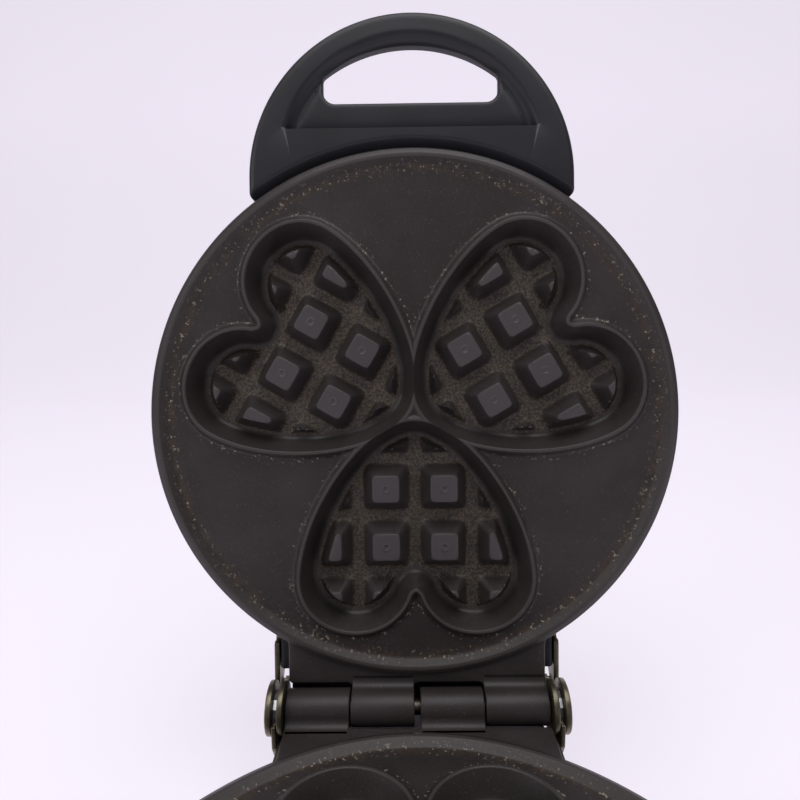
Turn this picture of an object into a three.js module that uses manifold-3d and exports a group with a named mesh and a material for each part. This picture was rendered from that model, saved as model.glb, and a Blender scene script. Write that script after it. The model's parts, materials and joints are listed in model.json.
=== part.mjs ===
// Round electric waffle maker with three heart-shaped moulds, shown open.
// Millimetres, +Z up. The lid swings about a pin that runs along X through the plates' knuckles.
//
// Both halves are drawn in one "half frame": x runs along the pin, y runs from the pin towards
// the handle, and z points at the other half, with z = 0 as the plane where the halves meet.
// The base is that frame turned half round about Z, and the lid is tipped up about X.

import * as THREE from 'three';
import { mergeVertices } from 'three/addons/utils/BufferGeometryUtils.js';
import Module from 'manifold-3d';

const wasm = await Module();
wasm.setup();

// ---- driving dimensions: whole machine --------------------------------------------------------

const plateRadius = 104.8;        // outside of the round cooking plates
const hingeRoom = 11.2;           // outside of the plates to the hinge pin
const openAngle = 98;             // lid's angle from closed, where it rests on its stops
const lidDepth = 38;              // meeting plane to the lid's outer face
const baseDepth = 50;             // meeting plane to the base's floor
const gap = 0.3;                  // between pieces that touch
const meetingGap = 0.15;          // from the meeting plane to each plate's rim

// ---- cooking plates ---------------------------------------------------------------------------

const skirtDepth = 12;            // meeting plane to the lower edge of the plate's skirt
const skirtWall = 2.8;
const fieldDepth = 2.5;           // flat face of the plate, below its rim
const plateWall = 3;
const crestWidth = 1.2;           // narrow top of the rim
const crestOutside = 3.2;         // crest to the outside of the plate
const crestDrop = 3.3;            // meeting plane to where the rounded rim turns upright
const rimWidth = 7.3;             // outside of the plate to the foot of the rim's inner slope
const heartCount = 3;
const heartApex = 2.8;            // tip of each heart, from the plate's middle
const heartHalfWidth = 45.9;
const heartWidestAt = 66;         // heart's widest line, from the plate's middle
const lobeMiddle = 24;            // each lobe's centre, from the heart's own middle line
const lobeHeight = 20.2;
const cuspAt = 69.3;              // notch between the lobes, from the plate's middle
const tipPull = 21;               // how blunt the heart's tip is
const lobePull = 25;              // how straight its flanks are
const mouldDepth = 10;            // meeting plane to the mould's floor
const wallSlope = 4.3;            // how far the mould's wall leans in by the floor
const landWidth = 1.2;            // narrow crest around each heart
const landFoot = 3.8;             // heart's edge to the foot of the crest's outer slope
const gridPitch = 23.2;           // waffle pattern
const gridShift = 30;             // first row of studs, from the plate's middle
const studFoot = 19;
const studTop = 10.4;
const studTopDepth = 1.9;         // meeting plane to the studs' flat tops
const studRoot = 0.5;             // how far the studs reach into the floor
const cutStudInset = 2.6;         // mould's floor edge to the studs that it cuts short
const cutStudSlope = 3.5;
const notchAngle = Math.PI * 0.91; // where a lobe turns into the notch
const edgeSteps = 4;              // steps in each curve of a heart's edge

// ---- hinge ------------------------------------------------------------------------------------

const apronHalfWidth = 51.3;      // cast strip between the plate and the knuckles
const apronThickness = 6;
const apronReach = 40;            // from the pin, to well under the plate's edge
const knuckleRadius = 7;
const knuckleLength = 24.7;
const knuckleGapMiddle = 2.4;
const knuckleGapSide = 0.6;
const knuckleRoom = 1.2;          // around the other plate's knuckles
const pinRadius = 3;
const pinClearance = 0.3;
const pinOverhang = 0.6;
const armThickness = 2.2;
const armTabRadius = 10;
const armTop = 9;                 // arms' upper edge, below the meeting plane
const armHeadDepth = 1.2;         // recess for the arm screws' flat heads
const armWidth = 15;
const armLength = 50;             // from the pin
const armKnee = 12;               // where its lower edge turns along the housing
const armScrewY = 17;
const armScrewZ = -17;
const armScrewLength = 7;
const slotStart = 22;             // from the pin to where the arm drops below the plate
const baseArmInside = 51.9;       // inner face of the base's arms, from the middle
const stopThickness = 1.6;
const stopTop = 1;                // stop plate, below the pin
const stopHeight = 14;
const stopRelief = 7.5;           // stop plate's notch around the pin
const stopFront = 10;
const lugRadius = 1.5;
const washerRadius = 6.5;

// ---- housings, handles and feet ---------------------------------------------------------------

const shellInset = 1.3;           // housings' side, inside the plates' edge
const shellWall = 2.5;
const shellShoulder = 14;         // how far the bowl's side curves in by its floor
const straightSide = 10;          // upright part of the bowl's side
const neckRoom = 1;               // lid's neck, beyond the arms' round tabs
const guardEnd = -2;              // lower end of the neck's guard behind the knuckles
const blockBack = 14;             // base's hinge block, behind the pin
const blockRoom = 1.8;            // hinge block's top, below the arms' round tabs
const blockStep = 9;              // from the pin to where the block rises under the apron
const chamfer = 5;
const postRing = 75;              // posts between housing and plate, from the plate's middle
const postAngles = [90, 210, 330];
const postRadius = 5;
const postTop = 15;               // meeting plane to the posts' tops
const screwRadius = 1.8;
const screwHeadRadius = 3.4;
const screwHeadHeight = 2;
const screwRecess = 8;            // how deep the screws' heads sit in their posts
const handleRadius = 64.7;         // grip's round outer edge
const handleInset = 11;           // centre of that edge, inside the plate's edge
const handleLap = 19.1;           // lower ends of the grip, inside the plate's edge
const handleFront = 4;            // grip's front face, below the meeting plane
const handleDepth = 16;
const handleChamfer = 3;
const handleStandoff = 4.5;       // grip's front edge, outside the plate
const handleWall = 3.5;
const handleRoot = 12.2;          // solid part of the grip, beyond the plate's edge
const fingerHalfWidth = 35;
const fingerStart = 19.2;         // finger opening, beyond the plate's edge
const fingerHeight = 22.3;
const fingerArc = 57;             // radius of the opening's arched top
const fingerCorner = 5;
const dishDepth = 2.5;            // scooped face around the opening
const dishInset = 7.1;            // centre of its arc, inside the plate's edge
const dishRadius = 53.5;
const dishStart = 8.6;            // its straight edge, beyond the plate's edge
const handleScrewX = 42;
const handleScrewZ = -17;
const handleScrewTip = 1.2;       // tip of the screw, beyond the plate's edge
const footRadius = 9;
const footHeight = 8;
const footStud = 2.7;
const frontFootX = 45;
const frontFootY = 58;            // beyond the plate's middle
const rearFootX = 38;
const rearFootY = 2;              // in front of the pin
const ventCount = 6;
const ventRing = 48;
const ventLength = 22;
const ventWidth = 3;

// ---- heating and controls ---------------------------------------------------------------------

const elementRing = 62;
const elementRadius = 3.25;
const elementOpening = 13;        // half the angle between the heating element's ends
const elementLeg = 12;            // length of its turned ends
const elementSag = 1;             // how far it dips before it turns
const terminalSlot = 30;          // half the reflector's opening around those ends
const reflectorSheet = 0.8;
const reflectorLip = 4;
const dialAt = 50;                // thermostat and knob, beyond the plate's middle
const thermostatRadius = 6.5;
const thermostatHeight = 9;
const shaftRadius = 3;
const knobRadius = 17;
const knobHeight = 14;
const knobLift = 0.6;
const knobShaftDepth = 9;
const lampRadius = 4;
const lampX = 30;
const lampY = 50;                 // beyond the plate's middle
const lampLength = 14;
const terminalSize = [30, 14];    // width and depth
const terminalRoom = 6.65;        // its top, below the heating element's ends
const terminalAt = 58;            // terminal block, in front of the pin
const fuseAt = 85;
const fuseLength = 24;
const fuseRadius = 3;
const glandX = 28;
const glandRise = 18;             // cord inlet, above the housing's floor
const glandRadius = 7;
const glandBore = 3.6;
const leadX = -20;                // heat-proof lead from base to lid, behind the hinge
const leadRadius = 2.6;
const leadDrop = 24;              // both of its ends, below the meeting plane
const leadBulge = 37;             // how far its loop stands behind the pin
const leadIn = 6;                 // how far its ends reach inside
const grommetRadius = 4;
const bushLength = 7;
const bushFlange = 1.6;

// ---- sizes that follow ------------------------------------------------------------------------

const hingeReach = plateRadius + hingeRoom;
const shellRadius = plateRadius - shellInset;
const handleCentre = plateRadius - handleInset;
const handleFoot = plateRadius - handleLap;
const handleSolid = plateRadius + handleRoot;
const fingerBottom = plateRadius + fingerStart;
const fingerTop = fingerBottom + fingerHeight;
const dishCentre = plateRadius - dishInset;
const dishBottom = plateRadius + dishStart;
const reflectorRadius = Math.hypot(hingeReach - armLength, baseArmInside) - gap;
const reliefRadius = knuckleRadius + knuckleRoom;
const neckEnd = armTabRadius + neckRoom;
const blockTop = armTabRadius + blockRoom;
const apronTop = -fieldDepth;
const apronBottom = apronTop - apronThickness;
const lobeHalf = heartHalfWidth - lobeMiddle;
const floorZ = -mouldDepth;
const panBottom = floorZ - plateWall;
const stopInside = baseArmInside + armThickness + gap;
const lidArmInside = stopInside + stopThickness + gap;
const lidArmOutside = lidArmInside + armThickness;
const neckHalfWidth = lidArmInside - gap;
const blockHalfWidth = baseArmInside - gap;
const boreRadius = pinRadius + pinClearance;
const screwHole = screwRadius + gap;
const shellTop = -skirtDepth - gap;
const handleBack = -handleFront - handleDepth;
const elementZ = panBottom - gap - elementRadius;
const reflectorZ = elementZ - elementRadius - elementSag - gap;
const handleScrewEnd = hingeReach + plateRadius + handleScrewTip;
const lidTilt = THREE.MathUtils.degToRad(180 - openAngle);
const middle = [0, hingeReach];

// ---- shared shape helpers ---------------------------------------------------------------------

function toSolid(geometry) {
  const bare = new THREE.BufferGeometry();
  bare.setAttribute('position', geometry.getAttribute('position'));
  if (geometry.index) bare.setIndex(geometry.index);
  const merged = mergeVertices(bare, 1e-5);
  return new wasm.Manifold(new wasm.Mesh({
    numProp: 3,
    vertProperties: Float32Array.from(merged.getAttribute('position').array),
    triVerts: Uint32Array.from(merged.index.array),
  }));
}

function toGeometry(solid) {
  const mesh = solid.getMesh();
  const geometry = new THREE.BufferGeometry();
  geometry.setAttribute('position', new THREE.BufferAttribute(mesh.vertProperties, 3));
  geometry.setIndex(new THREE.BufferAttribute(mesh.triVerts, 1));
  geometry.computeVertexNormals();
  return geometry;
}

function join(solids) {
  return solids.reduce((whole, solid) => whole.add(solid));
}

function cut(solid, tools) {
  return tools.reduce((left, tool) => left.subtract(tool), solid);
}

function bothSides(make) {
  return [make(-1), make(1)];
}

// A block between two opposite corners.
function block(cornerA, cornerB) {
  const size = cornerA.map((value, i) => Math.abs(cornerB[i] - value));
  const geometry = new THREE.BoxGeometry(...size);
  geometry.translate(...cornerA.map((value, i) => (value + cornerB[i]) / 2));
  return toSolid(geometry);
}

// A round bar along x, y or z between two places on that axis; a and b are its other coordinates.
function bar(axis, radius, end, otherEnd, [a, b], sides = 12) {
  const geometry = new THREE.CylinderGeometry(radius, radius, Math.abs(otherEnd - end), sides);
  const centre = (end + otherEnd) / 2;
  if (axis === 'x') geometry.rotateZ(-Math.PI / 2).translate(centre, a, b);
  if (axis === 'y') geometry.translate(a, centre, b);
  if (axis === 'z') geometry.rotateX(Math.PI / 2).translate(a, b, centre);
  return toSolid(geometry);
}

// A closed profile of [radius, z] points turned about the upright line through a place.
function turned(profile, [x, y], sides = 40) {
  const points = [...profile, profile[0]].map(([r, z]) => new THREE.Vector2(r, z));
  if (THREE.ShapeUtils.isClockWise(points)) points.reverse();
  const geometry = new THREE.LatheGeometry(points, sides);
  geometry.rotateX(Math.PI / 2).translate(x, y, 0);
  return toSolid(geometry);
}

// A plan view given its height.
function prism(shape, low, high, curveSegments = 8) {
  const options = { depth: high - low, bevelEnabled: false, curveSegments };
  const geometry = new THREE.ExtrudeGeometry(shape, options);
  geometry.translate(0, 0, low);
  return toSolid(geometry);
}

// A side view, drawn in y and z, given its thickness along x.
function sideways(shape, end, otherEnd, curveSegments = 8) {
  const options = { depth: Math.abs(otherEnd - end), bevelEnabled: false, curveSegments };
  const geometry = new THREE.ExtrudeGeometry(shape, options);
  geometry.rotateY(Math.PI / 2).rotateX(Math.PI / 2).translate(Math.min(end, otherEnd), 0, 0);
  return toSolid(geometry);
}

// A round section carried along a smooth line through points.
function tube(points, radius, sides, steps) {
  const path = new THREE.CatmullRomCurve3(points.map((p) => new THREE.Vector3(...p)));
  const section = [];
  for (let i = 0; i < sides; i++) {
    const angle = i * 2 * Math.PI / sides;
    section.push(new THREE.Vector2(radius * Math.cos(angle), radius * Math.sin(angle)));
  }
  return toSolid(new THREE.ExtrudeGeometry(new THREE.Shape(section), { steps, extrudePath: path }));
}

// Straight sides from one anticlockwise outline up to another with as many points.
function frustum(lower, upper, lowZ, highZ) {
  const count = lower.length;
  const at = (z) => (p) => [p.x, p.y, z];
  const positions = [...lower.flatMap(at(lowZ)), ...upper.flatMap(at(highZ))];
  const index = [];
  for (let i = 0; i < count; i++) {
    const next = (i + 1) % count;
    index.push(i, next, count + next, i, count + next, count + i);
  }
  for (const [a, b, c] of THREE.ShapeUtils.triangulateShape(lower, [])) {
    index.push(c, b, a, count + a, count + b, count + c);
  }
  const geometry = new THREE.BufferGeometry();
  geometry.setAttribute('position', new THREE.Float32BufferAttribute(positions, 3));
  geometry.setIndex(index);
  return toSolid(geometry);
}

// Moves an anticlockwise outline outwards by a distance, or inwards where it is negative.
function offset(points, distance) {
  return points.map((point, i) => {
    const before = points[(i + points.length - 1) % points.length];
    const after = points[(i + 1) % points.length];
    const along = after.clone().sub(before).normalize();
    return new THREE.Vector2(point.x + along.y * distance, point.y - along.x * distance);
  });
}

function polygon(points) {
  return new THREE.Shape(points.map(([x, y]) => new THREE.Vector2(x, y)));
}

// ---- cooking plate ----------------------------------------------------------------------------

// From a heart's tip down its flank and round one lobe, as far as an angle below the widest line.
function lobeEdge(endAngle) {
  const edge = new THREE.Shape();
  edge.moveTo(0, -heartApex);
  edge.bezierCurveTo(
    tipPull, -heartApex, heartHalfWidth, lobePull - heartWidestAt, heartHalfWidth, -heartWidestAt,
  );
  edge.absellipse(lobeMiddle, -heartWidestAt, lobeHalf, lobeHeight, 0, endAngle, true, 0);
  return edge;
}

// A whole heart's edge, with its notch rounded off.
function heartEdge() {
  const edge = lobeEdge(-notchAngle);
  const notchX = lobeMiddle - lobeHalf * Math.cos(Math.PI - notchAngle);
  edge.quadraticCurveTo(notchX / 2, -cuspAt, 0, -cuspAt);
  const right = edge.getPoints(edgeSteps);
  const left = right.slice(1, -1).reverse().map((p) => new THREE.Vector2(-p.x, p.y));
  return [...right, ...left].reverse();
}

// The ground that a heart covers, from one distance outside its edge up to another.
// It is two mirrored lobes, which meet in a sharp notch.
function heartGround(lowerDistance, upperDistance, lowZ, highZ) {
  const edge = lobeEdge(-Math.PI);
  edge.lineTo(0, -heartWidestAt);
  const lobe = edge.getPoints(edgeSteps).reverse();
  const right = frustum(offset(lobe, lowerDistance), offset(lobe, upperDistance), lowZ, highZ);
  return right.add(right.mirror([1, 0, 0]));
}

function stud(x, y) {
  const corners = [[-1, -1], [1, -1], [1, 1], [-1, 1]];
  const square = (side) => corners.map(([i, j]) => (
    new THREE.Vector2(x + i * side / 2, y + j * side / 2)
  ));
  return frustum(square(studFoot), square(studTop), floorZ - studRoot, -studTopDepth);
}

// The studs of one heart: whole ones in the middle, and ones that the mould's edge cuts short.
function studs(edge) {
  const foot = offset(edge, -wallSlope - cutStudInset);
  const crown = offset(edge, -wallSlope - cutStudInset - cutStudSlope);
  const room = frustum(foot, crown, floorZ - studRoot, -studTopDepth);
  const all = [];
  for (const column of [-1.5, -0.5, 0.5, 1.5]) {
    for (const row of [1, 0, -1, -2]) all.push(stud(column * gridPitch, row * gridPitch - gridShift));
  }
  return join(all).intersect(room);
}

function inEachHeart(solid) {
  const copies = [];
  for (let i = 0; i < heartCount; i++) copies.push(solid.rotate([0, 0, i * 360 / heartCount]));
  return join(copies).translate([0, hingeReach, 0]);
}

// This plate's two knuckles along the pin: the other plate's are their mirror image.
function knuckleSpans() {
  const inner = knuckleGapMiddle / 2;
  const outer = inner + knuckleLength + knuckleGapSide;
  return [[-inner - knuckleLength, -inner], [outer, outer + knuckleLength]];
}

// The strip between plate and knuckles, cut back around the other plate's knuckles.
function apron() {
  const strip = block([-apronHalfWidth, 0, apronBottom], [apronHalfWidth, apronReach, apronTop]);
  const past = apronHalfWidth + 1;
  const ends = [past, ...knuckleSpans().flat(), -past].sort((a, b) => a - b);
  const rooms = [];
  for (let i = 0; i < ends.length; i += 2) {
    rooms.push(bar('x', reliefRadius, ends[i], ends[i + 1], [0, 0], 16));
    rooms.push(block([ends[i], -1, apronBottom - 1], [ends[i + 1], reliefRadius, apronTop + 1]));
  }
  const knuckles = knuckleSpans().map(([low, high]) => (
    bar('x', knuckleRadius, low, high, [0, 0], 16)
  ));
  return cut(strip, rooms).add(join(knuckles));
}

function postPlaces() {
  return postAngles.map((degrees) => {
    const angle = THREE.MathUtils.degToRad(degrees);
    return [postRing * Math.cos(angle), hingeReach + postRing * Math.sin(angle)];
  });
}

// Plate, rim, moulds, screw bosses and hinge knuckles, cast in one piece.
function cookingPlate() {
  const edge = heartEdge();
  const crestRadius = plateRadius - crestOutside;
  const disc = turned([
    [0, apronTop], [plateRadius - rimWidth, apronTop], [crestRadius - crestWidth, -meetingGap],
    [crestRadius, -meetingGap], [plateRadius - crestOutside / 3, -crestDrop / 3],
    [plateRadius, -crestDrop], [plateRadius, -skirtDepth], [plateRadius - skirtWall, -skirtDepth],
    [plateRadius - skirtWall, apronTop - plateWall], [0, apronTop - plateWall],
  ], middle);
  const root = apronTop - 1;
  const pan = heartGround(plateWall - wallSlope, landFoot, panBottom, root);
  const land = heartGround(landFoot, landWidth, root, -meetingGap);
  const bosses = postPlaces().map((place) => bar('z', postRadius, gap - postTop, root, place));
  const body = join([disc, apron(), inEachHeart(pan), inEachHeart(land), ...bosses]);
  const mould = frustum(offset(edge, -wallSlope), offset(edge, 0.5), floorZ, 1);
  const bore = bar('x', boreRadius, -apronHalfWidth - 1, apronHalfWidth + 1, [0, 0], 12);
  const holes = postPlaces().map((place) => bar('z', screwHole, -postTop, apronTop - plateWall, place));
  return cut(body, [inEachHeart(mould), bore, ...holes]).add(inEachHeart(studs(edge)));
}

// ---- housings ---------------------------------------------------------------------------------

// The round bowl's bulk, or with a wall the hollow inside it.
function bowl(depth, wall) {
  const radius = shellRadius - wall;
  const floor = wall - depth;
  const top = wall ? 1 : shellTop;
  return turned([
    [0, top], [radius, top], [radius, shellTop - straightSide],
    [radius - shellShoulder * 0.15, floor + shellShoulder * 0.55],
    [radius - shellShoulder * 0.5, floor + shellShoulder * 0.2], [radius - shellShoulder, floor], [0, floor],
  ], middle);
}

// Posts stand between the housing's floor and the plate's bosses, with a screw up each one.
function withPosts(shell, depth) {
  const posts = postPlaces().map((place) => bar('z', postRadius, shellWall / 2 - depth, -postTop, place));
  const holes = postPlaces().map((place) => bar('z', screwHole, -depth - 1, 0, place));
  const sockets = postPlaces().map((place) => (
    bar('z', screwHeadRadius + gap, -depth - 1, screwRecess - depth, place)
  ));
  return cut(shell.add(join(posts)), [...holes, ...sockets]);
}

function plateRoom() {
  return bar('z', plateRadius + gap, shellTop, 1, middle, 40);
}

function handleScrewHoles() {
  const inside = hingeReach + shellRadius - shellShoulder;
  return bothSides((side) => (
    bar('y', screwHole, inside, hingeReach + shellRadius + 1, [side * handleScrewX, handleScrewZ])
  ));
}

// Room for an arm that passes through the housing's wall.
function armSlots(armInside, wallAt) {
  return bothSides((side) => block(
    [side * (armInside - gap), wallAt, shellTop + 1],
    [side * (armInside + armThickness + gap), armLength + gap, -armTop - armWidth - gap],
  ));
}

function armScrewHoles(halfWidth) {
  return bothSides((side) => (
    bar('x', screwHole, side * (halfWidth + 1), side * (halfWidth - shellWall - 1), [armScrewY, armScrewZ])
  ));
}

// Round bowl behind the upper plate, with a neck that reaches down to the hinge and a guard that
// closes the gaps between the knuckles.
function lidShell() {
  const back = hingeReach / 2;
  const neck = sideways(polygon([
    [neckEnd, apronBottom - gap], [neckEnd, chamfer - lidDepth], [neckEnd + chamfer, -lidDepth],
    [back, -lidDepth], [back, apronBottom - gap],
  ]), -neckHalfWidth, neckHalfWidth);
  const inside = sideways(polygon([
    [neckEnd + shellWall, 1], [neckEnd + shellWall, chamfer + shellWall - lidDepth],
    [neckEnd + shellWall + chamfer, shellWall - lidDepth], [back, shellWall - lidDepth], [back, 1],
  ]), shellWall - neckHalfWidth, neckHalfWidth - shellWall);
  const guardFace = apronBottom - gap;
  const guard = sideways(polygon([
    [guardEnd, guardFace], [guardEnd, guardFace - shellWall],
    [neckEnd + 1, guardFace - shellWall], [neckEnd + 1, guardFace],
  ]), -apronHalfWidth, apronHalfWidth);
  const outside = join([bowl(lidDepth, 0), neck, guard]);
  const walls = cut(outside, [plateRoom(), bowl(lidDepth, shellWall), inside]);
  const dial = bar('z', shaftRadius + gap, -lidDepth - 1, 0, [0, hingeReach + dialAt]);
  const lamps = bothSides((side) => (
    bar('z', lampRadius + gap, -lidDepth - 1, 0, [side * lampX, hingeReach + lampY])
  ));
  const lead = bar('y', grommetRadius + gap, neckEnd - 1, neckEnd + shellWall + 1, [leadX, -leadDrop]);
  return cut(withPosts(walls, lidDepth), [
    ...armSlots(lidArmInside, slotStart), ...armScrewHoles(neckHalfWidth), ...handleScrewHoles(),
    dial, ...lamps, lead,
  ]);
}

// A ring of slots through the base's floor.
function vents(below, above) {
  const inner = [ventRing - ventLength / 2, -ventWidth / 2, below];
  const outer = [ventRing + ventLength / 2, ventWidth / 2, above];
  const slots = [];
  for (let i = 0; i < ventCount; i++) {
    const slot = block(inner, outer).rotate([0, 0, i * 360 / ventCount]);
    slots.push(slot.translate([0, hingeReach, 0]));
  }
  return slots;
}

// Round bowl under the lower plate, with a block behind it that carries the hinge and rear feet.
function baseShell() {
  const front = hingeReach / 2;
  const hingeBlock = sideways(polygon([
    [-blockBack, -blockTop], [-blockBack, chamfer - baseDepth], [chamfer - blockBack, -baseDepth],
    [front, -baseDepth], [front, apronBottom - gap], [blockStep, apronBottom - gap], [blockStep, -blockTop],
  ]), -blockHalfWidth, blockHalfWidth);
  const inside = sideways(polygon([
    [shellWall - blockBack, -blockTop - shellWall], [shellWall - blockBack, chamfer + shellWall - baseDepth],
    [chamfer + shellWall - blockBack, shellWall - baseDepth], [front, shellWall - baseDepth],
    [front, 1], [blockStep + shellWall, 1], [blockStep + shellWall, -blockTop - shellWall],
  ]), shellWall - blockHalfWidth, blockHalfWidth - shellWall);
  const outside = bowl(baseDepth, 0).add(hingeBlock);
  const walls = cut(outside, [plateRoom(), bowl(baseDepth, shellWall), inside]);
  const rearWall = [-blockBack - 1, shellWall - blockBack + 1];
  const inlet = bar('y', glandRadius + gap, ...rearWall, [-glandX, glandRise - baseDepth]);
  const lead = bar('y', grommetRadius + gap, ...rearWall, [-leadX, -leadDrop]);
  const below = -baseDepth - 1;
  const above = shellWall - baseDepth + 1;
  const footHoles = footPlaces().map((place) => bar('z', footStud + gap, below, above, place));
  return cut(withPosts(walls, baseDepth), [
    ...armSlots(baseArmInside, slotStart), ...armScrewHoles(blockHalfWidth), ...handleScrewHoles(),
    inlet, lead, ...footHoles, ...vents(below, above),
  ]);
}

function footPlaces() {
  return [
    [-frontFootX, hingeReach + frontFootY], [frontFootX, hingeReach + frontFootY],
    [-rearFootX, rearFootY], [rearFootX, rearFootY],
  ];
}

// ---- handle -----------------------------------------------------------------------------------

function fingerOpening() {
  const low = hingeReach + fingerBottom;
  const centre = hingeReach + fingerTop - fingerArc;
  const spring = Math.acos(fingerHalfWidth / fingerArc);
  const cornerX = fingerHalfWidth - fingerCorner;
  const shape = new THREE.Shape();
  shape.moveTo(-cornerX, low);
  shape.absarc(cornerX, low + fingerCorner, fingerCorner, -Math.PI / 2, 0);
  shape.absarc(0, centre, fingerArc, spring, Math.PI - spring);
  shape.absarc(-cornerX, low + fingerCorner, fingerCorner, Math.PI, Math.PI * 1.5);
  return prism(shape, handleBack - 1, 1);
}

// The part of a circle that lies beyond a distance from the plate's middle.
function cap(centre, radius, from) {
  const start = Math.asin((from - centre) / radius);
  const shape = new THREE.Shape().absarc(0, hingeReach + centre, radius, start, Math.PI - start);
  return shape;
}

// D-shaped grip, scooped around its finger opening and hollow behind.
function handle() {
  const centre = hingeReach + handleCentre;
  const foot = hingeReach + handleFoot;
  const shape = new THREE.Shape();
  shape.moveTo(handleRadius - handleChamfer, foot);
  shape.lineTo(handleRadius, foot + handleChamfer / 2);
  shape.absarc(0, centre, handleRadius, 0, Math.PI);
  shape.lineTo(-handleRadius, foot + handleChamfer / 2);
  shape.lineTo(handleChamfer - handleRadius, foot);
  const seat = turned([
    [0, 1], [plateRadius + handleStandoff, 1], [plateRadius + handleStandoff, -handleFront],
    [plateRadius + gap, -handleFront - handleStandoff], [plateRadius + gap, shellTop],
    [shellRadius + gap, shellTop], [shellRadius + gap, handleBack - 1], [0, handleBack - 1],
  ], middle);
  const dish = prism(cap(dishCentre, dishRadius, dishBottom), -handleFront - dishDepth, 1, 12);
  const skin = -handleFront - dishDepth - handleWall;
  const hollow = prism(cap(handleCentre, handleRadius - handleWall, handleSolid), handleBack - 1, skin, 12);
  const screwHoles = bothSides((side) => (
    bar('y', screwHole, hingeReach, handleScrewEnd + 1, [side * handleScrewX, handleScrewZ])
  ));
  const block = prism(shape, handleBack, -handleFront, 14);
  return cut(block, [seat, dish, hollow, fingerOpening(), ...screwHoles]);
}

// ---- hinge ------------------------------------------------------------------------------------

// Where the arm's lower edge leaves the round tab and where it turns along the housing.
function armEdge() {
  const knee = new THREE.Vector2(armKnee, -armTop - armWidth);
  const turn = knee.angle() - Math.acos(armTabRadius / knee.length());
  return { tangent: turn, knee };
}

// Flat arm with a round tab on the pin, reaching into the housing.
function arm(side, inside) {
  const { tangent, knee } = armEdge();
  const shape = new THREE.Shape();
  shape.absarc(0, 0, armTabRadius, -Math.asin(armTop / armTabRadius), tangent, false);
  shape.lineTo(knee.x, knee.y);
  shape.lineTo(armLength, knee.y);
  shape.lineTo(armLength, shellTop - gap);
  shape.lineTo(slotStart, shellTop - gap);
  shape.lineTo(slotStart, -armTop);
  const plate = sideways(shape, side * inside, side * (inside + armThickness), 12);
  const past = inside + armThickness + 1;
  const bore = bar('x', boreRadius, side * (inside - 1), side * past, [0, 0], 12);
  const place = [armScrewY, armScrewZ];
  const screw = bar('x', screwHole, side * (inside - 1), side * past, place);
  const head = bar('x', screwHeadRadius + gap, side * (past - 1 - armHeadDepth), side * past, place);
  return cut(plate, [bore, screw, head]);
}

// Centre of the lug that the lid's arm rests on when open, in the base's half frame.
function lugSpot() {
  const { tangent, knee } = armEdge();
  const start = new THREE.Vector2(armTabRadius * Math.cos(tangent), armTabRadius * Math.sin(tangent));
  const along = knee.clone().sub(start).normalize();
  const spot = start.clone().add(knee).multiplyScalar(0.5);
  spot.add(new THREE.Vector2(along.y, -along.x).multiplyScalar(lugRadius + gap));
  spot.rotateAround(new THREE.Vector2(), lidTilt);
  return [-spot.x, spot.y];
}

// Plate on the outside of the base's arm, with the lug that stops the lid.
function lidStop(side) {
  const [lugY, lugZ] = lugSpot();
  const low = -stopTop - stopHeight;
  const shape = polygon([
    [stopFront, -stopTop], [stopFront, low + chamfer], [stopFront - chamfer / 2, low],
    [lugY + chamfer, low], [lugY - chamfer / 2, low + chamfer], [lugY - chamfer / 2, lugZ + lugRadius],
    [lugY + chamfer / 2, lugZ + lugRadius], [lugY + chamfer, -stopTop],
  ].reverse());
  const plate = sideways(shape, side * stopInside, side * (stopInside + stopThickness));
  const relief = bar('x', stopRelief, side * (stopInside - 1), side * lidArmInside, [0, 0], 16);
  const lug = bar('x', lugRadius, side * stopInside, side * lidArmOutside, [lugY, lugZ]);
  return cut(plate, [relief]).add(lug);
}

function hingePin() {
  const end = lidArmOutside + pinOverhang;
  return bar('x', pinRadius, -end, end, [0, 0], 12);
}

function washer(side) {
  const ring = bar('x', washerRadius, side * stopInside, side * (stopInside + stopThickness), [0, 0], 12);
  return cut(ring, [bar('x', boreRadius, side * (stopInside - 1), side * lidArmInside, [0, 0], 12)]);
}

// ---- fasteners and feet -----------------------------------------------------------------------

// A pan-head screw along an axis, from the face under its head to its tip.
function screw(axis, seat, tip, place) {
  const back = seat - Math.sign(tip - seat) * screwHeadHeight;
  const head = bar(axis, screwHeadRadius, back, seat, place);
  return head.add(bar(axis, screwRadius, back, tip, place));
}

function postScrew(depth, place) {
  return screw('z', screwRecess - gap - depth, apronTop - plateWall - 1, place);
}

function handleScrew(side) {
  const inner = shellRadius - shellWall;
  const seat = hingeReach + Math.sqrt(inner ** 2 - (handleScrewX + screwHeadRadius) ** 2) - gap;
  return screw('y', seat, handleScrewEnd, [side * handleScrewX, handleScrewZ]);
}

// A screw whose flat head lies flush in the arm.
function armScrew(side, inside) {
  const face = side * (inside + armThickness);
  const place = [armScrewY, armScrewZ];
  const head = bar('x', screwHeadRadius, face, face - side * (armHeadDepth - gap), place);
  return head.add(bar('x', screwRadius, face, face - side * armScrewLength, place));
}

function foot(place) {
  const top = -baseDepth - gap;
  const sole = -baseDepth - footHeight;
  return turned([
    [0, sole], [footRadius - 1.5, sole], [footRadius, sole + 1.5], [footRadius - 0.5, top],
    [footStud, top], [footStud, shellWall - baseDepth + 1], [0, shellWall - baseDepth + 1],
  ], place, 12);
}

// ---- heating and controls ---------------------------------------------------------------------

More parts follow.
